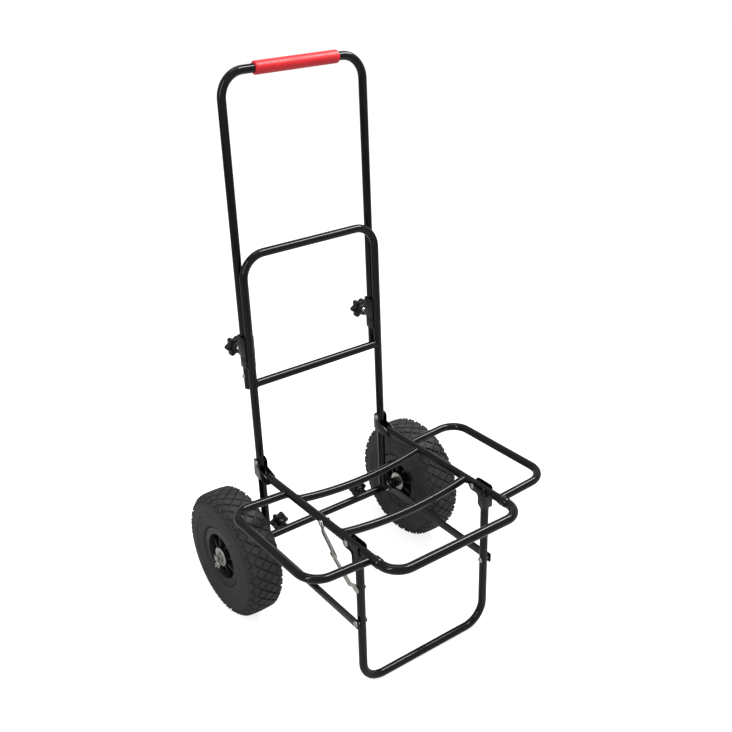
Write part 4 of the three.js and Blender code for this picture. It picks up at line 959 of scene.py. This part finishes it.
pick(tread, "FACE", tread.data.polygons, lambda face: lies_on(face, grid_line))
bpy.ops.mesh.poke()
only(tread)
odd_lines = [tread_base[number] for number in range(1 - last_line, last_line, 2)]
for vertex in tread.data.vertices:
    if not on_lines(vertex, grid_line + UNDER_LINE):
        across, radius = min(odd_lines, key=lambda line: abs(line[0] - vertex.co.x))
        stretch = radius / math.hypot(vertex.co.y, vertex.co.z)
        vertex.co = (across, vertex.co.y * stretch, vertex.co.z * stretch)
border = (grid_line[0], grid_line[-1])
pick(tread, "EDGE", tread.data.edges, lambda edge: lies_on(edge, grid_line) and not lies_on(edge, border))
bpy.ops.mesh.dissolve_edges(use_verts=False)
only(tread)
net = list(tread_base.values())
pick(tread, "FACE", tread.data.polygons, lambda face: len(face.vertices) == 4 and lies_on(face, net))
for thickness, depth in ((GROOVE_HALF, 0), (BLOCK_TAPER, BLOCK_RISE - BLOCK_CHAMFER),
                         (BLOCK_CHAMFER, BLOCK_CHAMFER)):
    bpy.ops.mesh.inset(thickness=thickness, depth=depth, use_individual=True)
bpy.ops.mesh.poke(offset=BLOCK_CROWN)
place(tread, rotated(TREAD_PHASE * math.pi / TREAD_COLUMNS, "X"))
print("tread faces:", len(tread.data.polygons), "outer radius:",
      max(math.hypot(vertex.co.y, vertex.co.z) for vertex in tread.data.vertices))

# %% [markdown]
# The rim is moulded in black plastic: a channel for the tyre, a web, a hub and eight spokes.
# The turned part is one closed section, and each spoke is cut to its outline and turned to its place.

# %% Rim
SPOKES = 8
SPOKE_THICKNESS = 0.0045
SPOKE_EDGE = 0.0008
HUB_FACE = [(0.0030, 0.0215), (0.0290, 0.0190), (0.0332, 0.0186), (0.0332, 0.0136)]
BARREL = [(0.0030, 0.0430), (0.0100, 0.0440), (0.0318, 0.0470), (0.0334, 0.0480), (0.0340, 0.0496),
          (0.0337, 0.0506), (0.0337, 0.0596), (0.0340, 0.0606), (0.0336, 0.0617), (0.0324, 0.0620),
          (0.0308, 0.0614), (0.0302, 0.0530), (0.0290, 0.0520)]
SPOKE_OUTLINE = [(0.0195, 0.002), (0.0195, 0.0285), (0.0225, 0.0300), (0.0455, 0.0262), (0.0465, 0.002)]

right_half = BARREL[::-1] + HUB_FACE
rim = turned("rim", right_half + reflected(right_half), steps=96)
spokes = []
for k in range(SPOKES):
    for face_side in (1, -1):
        outline = [Vector((face_side * x, -SPOKE_THICKNESS / 2, radius)) for radius, x in SPOKE_OUTLINE]
        spoke = round_edges(extruded("spoke", outline, Y * SPOKE_THICKNESS), SPOKE_EDGE)
        spokes.append(place(spoke, rotated(FULL_TURN * (k + 0.5) / SPOKES, "X")))
join_to(rim, spokes)
print("rim faces:", len(rim.data.polygons))

# %% [markdown]
# Each hub face is a pressed steel bearing cover with a ring groove round the washer.
# One cover is turned, and mirrored for the inner face. Then both wheels are put together.

# %% Hub bearings
# The cover and the sleeve behind it, as [depth below the hub's face, radius].
BEARING_SECTION = ((0.0006, 0.0064), (0, 0.0070), (0, 0.0098), (0.0016, 0.0102), (0.0016, 0.0114),
                   (0, 0.0120), (0, 0.0186), (0.0005, 0.0197), (0.0012, 0.0200), (0.0020, 0.0197),
                   (0.0020, 0.0130), (0.0140, 0.0130), (0.0140, 0.0064))
bearing = turned("bearing", [(HUB_HALF - depth, radius) for depth, radius in BEARING_SECTION])

for name, side in SIDES:
    wheel_axes = AXLE_AXES @ moved((side * WHEEL_PLANE, 0, 0))
    wheel_body = f"wheel_{name}"
    for model, label, slot, node in ((carcass, f"tyre_carcass_{name}", RUBBER, f"tyre_{name}"),
                                     (tread, f"tyre_tread_{name}", RUBBER, f"tyre_{name}"),
                                     (rim, f"rim_{name}_piece", PLASTIC, f"rim_{name}")):
        dress(copy_of(model), wheel_axes, wheel_body, slot, node, name=label)
    for label, facing in (("outer", side), ("inner", -side)):
        dress(copy_of(bearing) if facing > 0 else mirrored(bearing), wheel_axes, wheel_body, ZINC,
              f"bearing_{label}_{name}")
scrap(carcass, tread, rim, bearing)
print("wheels stand", WHEEL_PLANE, "from the middle")

# %% [markdown]
# The load platform is two rails, a front bar sleeved over their ends, two slats that sag
# in the middle and a wing on each side. The front bar is the next size of tube, and each of its
# ends is belled into a collar with a rolled edge.

# %% Platform
RAIL_START = 0.008
RAIL_END = 0.371
COLLAR_START = 0.3575
COLLAR_BORE = 0.0082
COLLAR_LIP = 0.0006
COLLAR_LAP = 0.001
# The collar's outside from its rolled edge to where it necks down to the bar, as [along, radius].
COLLAR_PROFILE = [(0.0, 0.0094), (0.0004, 0.0099), (0.0013, 0.0102), (0.0024, 0.0100), (0.0030, 0.0096),
                  (0.0037, 0.0096), (0.0043, 0.0099), (0.0118, 0.0099), (0.0126, 0.0102), (0.0136, 0.0101),
                  (0.0142, 0.0096), (0.0160, 0.0090)]
FRONT_BAR_RADIUS = 0.009
FRONT_BAR_REACH = 0.4116
FRONT_BEND = 0.038
SLAT_REACHES = (("slat_rear", 0.114), ("slat_front", 0.256))
SLAT_SAG = 0.0156
SLAT_STEPS = 24
WING_HALF_WIDTH = 0.275
WING_REACHES = (0.079, 0.348)
WING_BEND = 0.040
WING_RISE = 0.003
WING_JOINT_DROP = 0.004
WING_JOINT_IN = 0.002


def on_platform(piece, node):
    dress(piece, PLATFORM_AXES, "platform", COAT, node)


for name, side in SIDES:
    rail_start = side_point(side, -RAIL_START, 0)
    rail = rod(f"rail_{name}", rail_start, side_point(side, -RAIL_END, 0))
    open_end(rail, rail_start, Y)
    on_platform(rail, f"rail_{name}")

collar_length = COLLAR_PROFILE[-1][0]
collar = turned("front_collar", [(COLLAR_LIP, COLLAR_BORE)] + COLLAR_PROFILE + [(collar_length, COLLAR_BORE)])
bar_from = COLLAR_START + collar_length - COLLAR_LAP
front_bar = u_tube("front_bar", (-bar_from, 0), (-FRONT_BAR_REACH, 0), bend=FRONT_BEND,
                   radius=FRONT_BAR_RADIUS)
join_to(front_bar, [place(copy_of(collar), moved(side_point(side, -COLLAR_START, 0)) @ rotated(-QUARTER, "Z"))
                    for side in BOTH])
scrap(collar)
on_platform(front_bar, "front_bar")
print("front bar from reach", bar_from, "to", FRONT_BAR_REACH)

# A slat is one long bend: the arc through both rails and the sagging middle.
slat_bend = (HALF_WIDTH**2 + SLAT_SAG**2) / (2 * SLAT_SAG)
slat_turn = 2 * math.asin(HALF_WIDTH / slat_bend)
slope = Vector((math.cos(slat_turn / 2), 0, -math.sin(slat_turn / 2)))
for name, reach in SLAT_REACHES:
    slat = disc(name, side_point(-1, -reach, 0), slope)
    bpy.ops.mesh.spin(steps=SLAT_STEPS, angle=slat_turn, center=(0, -reach, slat_bend - SLAT_SAG), axis=Y)
    face_out(slat)
    weld_on(slat, [(side_point(side, -reach, 0), Y, Vector((-side * slope.x, 0, slope.z)))
                   for side in BOTH])
    on_platform(slat, name)

# A wing's tubes meet the rail a little below its middle, and rise towards the wing's outside.
for name, side in SIDES:
    wing_corners = [(x, -reach, z) for reach in WING_REACHES for x, z in (
        (side * (HALF_WIDTH + WING_JOINT_IN), -WING_JOINT_DROP), (side * WING_HALF_WIDTH, WING_RISE))]
    wing = bent_tube(f"wing_{name}", wing_corners[:2] + wing_corners[:1:-1], bend=WING_BEND)
    weld_on(wing, [(side_point(side, -reach, 0), Y, side * X, -side * WING_JOINT_DROP)
                   for reach in WING_REACHES])
    on_platform(wing, f"wing_{name}")

# %% [markdown]
# Each rail ends in a folded sheet bracket whose two ears stand either side of the upright.
# A domed rivet through both ears and the upright is the platform's hinge.

# %% Platform hinges
HINGE_EAR = 0.0097
HINGE_FOOT_REACH = 0.022
HINGE_FOOT_TOP = 0.005
HINGE_STEP = 0.004
UPRIGHT_AT_RAIL = 0.178
RIVET_RADIUS = 0.004
RIVET_HEAD_RADIUS = 0.0065
RIVET_HEAD = 0.0025
RIVET_TAIL_RADIUS = 0.0055
CUTTER_CLEAR = 0.02

cheek_in = HALF_WIDTH - outside
cheek_out = HALF_WIDTH + outside
upright_y = into(PLATFORM_AXES, BACK_AXES @ Vector((0, 0, UPRIGHT_AT_RAIL - hinge_pin.z))).y
rear = hinge_pin.y + HINGE_EAR
slot_top = hinge_pin.z + 2 * HINGE_EAR
slot_front, slot_rear = -HINGE_FOOT_REACH - CUTTER_CLEAR, rear + CUTTER_CLEAR
slot_below = -outside - CUTTER_CLEAR


def bracket(name, body, axes, outline, hollow):
    """A folded bracket round a tube: a solid as wide as its cheeks, less the hollow between them."""
    piece = sheet(name, outline, cheek_in, cheek_out)
    cut_away(piece, sheet("hollow_cutter", hollow, cheek_in + SHEET, cheek_out - SHEET))
    on_both_sides(round_edges(piece, SHEET_EDGE), name, body, COAT, axes)


bracket("platform_hinge", "platform", PLATFORM_AXES, arc(hinge_pin.y, hinge_pin.z, HINGE_EAR, 0, 180, 16) + [
    (hinge_pin.y - HINGE_EAR, TUBE_RADIUS + HINGE_STEP), (-HINGE_FOOT_REACH + HINGE_STEP, HINGE_FOOT_TOP),
    (-HINGE_FOOT_REACH, 0), (-HINGE_FOOT_REACH, -outside), (upright_y, -outside), (rear, -outside / 2)], [
    (slot_front, -inside), (-RAIL_START, -inside), (-RAIL_START + SHEET, slot_below), (slot_rear, slot_below),
    (slot_rear, slot_top), (slot_front, slot_top)])


def rivet(name, tail_face, face, shank, head, head_height, tail=0.0):
    """A domed rivet, with a domed tail of its own or cut off flat at the tail's face."""
    section = dome(face, shank, head, head_height)
    if tail:
        section += [(2 * tail_face - x, r) for x, r in dome(tail_face, shank, tail, head_height)][::-1]
    else:
        section += [(tail_face, shank), (tail_face, 0)]
    return turned(name, section, steps=32)


def frame_rivet(name, tail_face, face):
    return rivet(name, tail_face, face, RIVET_RADIUS, RIVET_HEAD_RADIUS, RIVET_HEAD, RIVET_TAIL_RADIUS)


for name, body, axes in (
        ("hinge_rivet", "platform", PLATFORM_AXES @ moved((0, hinge_pin.y, hinge_pin.z))),
        ("leg_rivet", "leg", LEG_AXES)):
    on_both_sides(frame_rivet(name, cheek_in - SEAT_GAP, cheek_out + SEAT_GAP), name, body, ZINC, axes)
print("platform turns about", hinge_pin)

# %% [markdown]
# The leg is a U of the same tube that stands on the ground. Its tops butt under the rails,
# just ahead of the rivets that it folds on, and a sheet bracket joins each top to its rivet.

# %% Leg
LEG_SET_AHEAD = 0.026
LEG_SHORT = 0.0012
LEG_EAR = 0.0102
LEG_PLATE_CORNER = 0.006
LEG_PLATE_REAR = 0.0165
LEG_PLATE_HOLLOW = 0.008
LEG_PLATE_DROP = 0.036
LEG_PLATE_TAPER = 0.005
BRACE_DROP = 0.1605
STAY_FOOT_DROP = 0.086
STAY_RIVET_RADIUS = 0.003
STAY_RIVET_HEAD_RADIUS = 0.005
STAY_RIVET_HEAD = 0.002
TAIL_SHANK = 0.002
RUNNING_GAP = 0.0005
INNER_FACE = HALF_WIDTH - TUBE_RADIUS

leg_reach = LEG_HINGE_REACH + LEG_SET_AHEAD
leg_drop = (RAIL_HEIGHT + leg_reach * math.sin(PLATFORM_RISE) - TUBE_RADIUS) / math.cos(PLATFORM_RISE)
leg_top = -TUBE_RADIUS - LEG_SHORT
leg = u_tube("leg_frame", (-LEG_SET_AHEAD, leg_top), (-LEG_SET_AHEAD, -leg_drop))
for side in BOTH:
    open_end(leg, side_point(side, -LEG_SET_AHEAD, leg_top), Z)
tail = rivet("rivet_tail", -INNER_FACE - TUBE_WALL, -INNER_FACE, TAIL_SHANK, STAY_RIVET_HEAD_RADIUS,
             STAY_RIVET_HEAD)
join_to(leg, [place(tail, moved((0, -LEG_SET_AHEAD, -STAY_FOOT_DROP)))])
dress(leg, LEG_AXES, "leg", COAT, "leg_frame")

web = -LEG_SET_AHEAD - outside
slot_floor = -LEG_PLATE_DROP - LEG_PLATE_TAPER - CUTTER_CLEAR
slot_edge = LEG_EAR + CUTTER_CLEAR
slot_step = -inside - RUNNING_GAP
bracket("leg_hinge", "leg", LEG_AXES, arc(0, 0, LEG_EAR, -90, 90, 20) + arc(
    web + LEG_PLATE_CORNER, LEG_EAR - LEG_PLATE_CORNER, LEG_PLATE_CORNER, 90, 180, 8) + [
    (web, -LEG_PLATE_DROP), (-LEG_SET_AHEAD, -LEG_PLATE_DROP - LEG_PLATE_TAPER),
    (-LEG_PLATE_REAR, -LEG_PLATE_DROP + LEG_PLATE_TAPER)] + arc(
    LEG_PLATE_HOLLOW - LEG_PLATE_REAR, -LEG_EAR - LEG_PLATE_HOLLOW, LEG_PLATE_HOLLOW, 180, 90, 8), [
    (-LEG_SET_AHEAD - inside, slot_floor), (slot_edge, slot_floor), (slot_edge, slot_edge),
    (web - CUTTER_CLEAR, slot_edge), (web - CUTTER_CLEAR, slot_step), (-LEG_SET_AHEAD - inside, slot_step)])
print("leg stands", leg_drop, "below its rail")

# %% [markdown]
# A flat bar braces each side from the axle to the leg, and keeps the leg level as it folds.
# Its end at the leg is cut square, and its rivet goes right through the leg.

# %% Braces
BRACE_WIDTH = 0.020
BRACE_FOOT_OVER = 0.0075
BRACE_EDGE = 0.0006
LINK_CORNER = 0.0025


def link_end(half, over):
    """A round end about its rivet, or one that reaches past it and is cut square."""
    if not over:
        return arc(0, 0, half, -90, 90, 12)
    across, along = half - LINK_CORNER, over - LINK_CORNER
    return arc(along, -across, LINK_CORNER, -90, 0, 4) + arc(along, across, LINK_CORNER, 0, 90, 4)


def link_outline(length, width, top_over=0.0, foot_over=0.0):
    """A flat bar from its top rivet at zero to its foot rivet at minus its length."""
    foot = [(-length - y, -z) for y, z in link_end(width / 2, foot_over)]
    return link_end(width / 2, top_over) + foot


def link_axes(parent, start, end):
    """Axes at one end of a link, turned so that its length runs towards the other end."""
    return parent @ moved(start) @ rotated(math.atan2(start.z - end.z, start.y - end.y), "X")


brace_foot = PLATFORM_AXES @ Vector((0, -leg_reach, -BRACE_DROP))
brace_length = (brace_foot - axle_line).length
brace_outer = BRACE_FACE + BRACE_THICKNESS
brace = sheet("brace", link_outline(brace_length, BRACE_WIDTH, foot_over=BRACE_FOOT_OVER),
              BRACE_FACE, brace_outer)
brace_axes = link_axes(Matrix.Identity(4), axle_line, brace_foot)
on_both_sides(round_edges(brace, BRACE_EDGE), "brace", "brace_SIDE_arm", COAT, brace_axes)
on_both_sides(frame_rivet("brace_rivet", INNER_FACE - SEAT_GAP, brace_outer + SEAT_GAP), "brace_rivet",
              "brace_SIDE_arm", ZINC, brace_axes @ moved((0, -brace_length, 0)))
print("brace length:", brace_length)

# %% [markdown]
# On the left a two-link stay locks the fold, with its knee a little past the straight line.
# Both links lie against the tubes at their far ends and step outwards towards the knee, where the
# lower one passes outside the upper one. Its end there is square, for a thumb to lift.

# %% Stay
STAY_TOP_REACH = 0.207
STAY_KNEE_REACH = 0.254
STAY_KNEE_DROP = 0.0445
STAY_THICKNESS = 0.002
STAY_EDGE = 0.0004
UPPER_LINK_WIDTH = 0.012
LOWER_LINK_WIDTH = 0.014
UPPER_LINK_FACE = 0.1607
LINK_SEAT_FACE = 0.1578
UPPER_JOG = (0.14, 0.22)
LOWER_JOG = (0.80, 0.88)
KNEE_OVER = 0.011

stay_top = Vector((0, -STAY_TOP_REACH, 0))
stay_knee = Vector((0, -STAY_KNEE_REACH, -STAY_KNEE_DROP))
stay_foot = Vector((0, -leg_reach, -STAY_FOOT_DROP))
upper_length = (stay_knee - stay_top).length
lower_length = (stay_foot - stay_knee).length
upper_outer = UPPER_LINK_FACE + STAY_THICKNESS
lower_face = upper_outer + SEAT_GAP
lower_outer = lower_face + STAY_THICKNESS
upper_axes = link_axes(PLATFORM_AXES, stay_top, stay_knee)
lower_axes = link_axes(PLATFORM_AXES, stay_knee, stay_foot)


def jog(link, length, shares, step, at_foot):
    """Press a step into a flat link, so that the end beyond it lies closer to the tube."""
    edit(link)
    for share in shares:
        bpy.ops.mesh.select_all(action="SELECT")
        bpy.ops.mesh.bisect(plane_co=(0, -length * share, 0), plane_no=(0, 1, 0))
    only(link)
    end = -length * shares[1 if at_foot else 0]
    for vertex in link.data.vertices:
        past_end = end - vertex.co.y if at_foot else vertex.co.y - end
        if past_end > -MERGE_DISTANCE:
            vertex.co.x += step
    return round_edges(link, STAY_EDGE)


upper = sheet("stay_upper_link", link_outline(upper_length, UPPER_LINK_WIDTH), -upper_outer, -UPPER_LINK_FACE)
jog(upper, upper_length, UPPER_JOG, UPPER_LINK_FACE - LINK_SEAT_FACE, at_foot=False)
dress(upper, upper_axes, "stay_upper", ZINC, "stay_upper_link")

lower = sheet("stay_lower_link", link_outline(lower_length, LOWER_LINK_WIDTH, top_over=KNEE_OVER),
              -lower_outer, -lower_face)
jog(lower, lower_length, LOWER_JOG, lower_face - LINK_SEAT_FACE, at_foot=True)
dress(lower, lower_axes, "stay_lower", ZINC, "stay_lower_link")

seat_outer = LINK_SEAT_FACE + STAY_THICKNESS + SEAT_GAP
# Each rivet is modelled on the right and mirrored: its name, tail's and head's faces, tail, axes and body.
for node, tail_face, face, tail_radius, axes, body in (
        ("stay_rivet_top", INNER_FACE - SEAT_GAP, seat_outer, STAY_RIVET_HEAD_RADIUS,
         upper_axes, "stay_upper"),
        ("stay_rivet_knee", UPPER_LINK_FACE, lower_outer + SEAT_GAP, 0,
         upper_axes @ moved((0, -upper_length, 0)), "stay_upper"),
        ("stay_rivet_foot", OUTER_FACE + SEAT_GAP, seat_outer, 0,
         lower_axes @ moved((0, -lower_length, 0)), "stay_lower")):
    model = rivet(node, tail_face, face, STAY_RIVET_RADIUS, STAY_RIVET_HEAD_RADIUS, STAY_RIVET_HEAD,
                  tail_radius)
    dress(mirrored(model), axes, body, ZINC, node)
    scrap(model)
print("stay links:", upper_length, "and", lower_length)

# %% [markdown]
# The floor is plain and pale. A glow that only the camera sees makes it white, and it still takes a
# soft shadow. A strip light hangs overhead on the right, a weaker one on the left and a square one
# above, so the tubes show long clean highlights. The world is dim, but white where the camera sees it.

# %% Floor, world and lights
FLOOR_HALF = 6.0
FLOOR_COLOUR = (0.62, 0.62, 0.62, 1)
FLOOR_GLOW = 0.80
WORLD_LIGHT = 0.35
WORLD_IN_GLOSS = 0.5
AIM = Vector((0, 0, 0.4))
# Each light has a name, a place, a width and a height, a turn in degrees and a power in watts.
LIGHTS = (("softbox_key", (1.15, -0.15, 2.55), (0.5, 1.7), 33, 60),
          ("softbox_left", (-2.2, -0.6, 2.0), (0.4, 2.0), 0, 22),
          ("softbox_top", (0.1, 0.6, 2.9), (1.2, 1.2), 0, 8))

bpy.ops.mesh.primitive_plane_add(size=2 * FLOOR_HALF, location=(0, 0, 0))
floor = fresh("studio_floor")
floor_material = bpy.data.materials.new("studio_floor")
floor_material.use_nodes = True
tree = floor_material.node_tree
tree.nodes.clear()
output = add_node(tree, "OutputMaterial")
matt = add_node(tree, "BsdfDiffuse", Color=FLOOR_COLOUR)
glow = add_node(tree, "Emission")
path = add_node(tree, "LightPath")
amount = add_node(tree, "Math", operation="MULTIPLY")
amount.inputs[1].default_value = FLOOR_GLOW
total = add_node(tree, "AddShader")
wire(tree, (path, "Is Camera Ray", amount, 0), (amount, 0, glow, "Strength"), (matt, 0, total, 0),
     (glow, 0, total, 1), (total, 0, output, "Surface"))
floor.data.materials.append(floor_material)

# The world's strength is the greatest of its dim light, its share in a gloss, and full for the camera.
world = bpy.data.worlds.new("studio")
bpy.context.scene.world = world
world.use_nodes = True
tree = world.node_tree
background = tree.nodes["Background"]
background.inputs["Color"].default_value = (1, 1, 1, 1)
path = add_node(tree, "LightPath")
in_gloss = add_node(tree, "Math", operation="MULTIPLY")
in_gloss.inputs[1].default_value = WORLD_IN_GLOSS
first, second, third = [add_node(tree, "Math", operation="MAXIMUM") for _ in range(3)]
first.inputs[0].default_value = WORLD_LIGHT
wire(tree, (path, "Is Glossy Ray", in_gloss, 0), (in_gloss, 0, first, 1), (first, 0, second, 0),
     (path, "Is Transmission Ray", second, 1), (second, 0, third, 0), (path, "Is Camera Ray", third, 1),
     (third, 0, background, "Strength"))

for name, where, (width, height), turn, power in LIGHTS:
    bpy.ops.object.light_add(type="AREA", location=where)
    lamp = bpy.context.object
    lamp.name = name
    lamp.data.shape = "RECTANGLE"
    lamp.data.size = width
    lamp.data.size_y = height
    lamp.data.energy = power
    aimed = (AIM - Vector(where)).to_track_quat("-Z", "Y").to_matrix()
    lamp.rotation_euler = (aimed @ Matrix.Rotation(math.radians(turn), 3, "Z")).to_euler()

bpy.context.scene.view_settings.view_transform = "Standard"
print("lights:", ", ".join(light[0] for light in LIGHTS))

# %% [markdown]
# Last, the selection is cleared.

# %% Clearing the selection
bpy.ops.object.select_all(action="DESELECT")
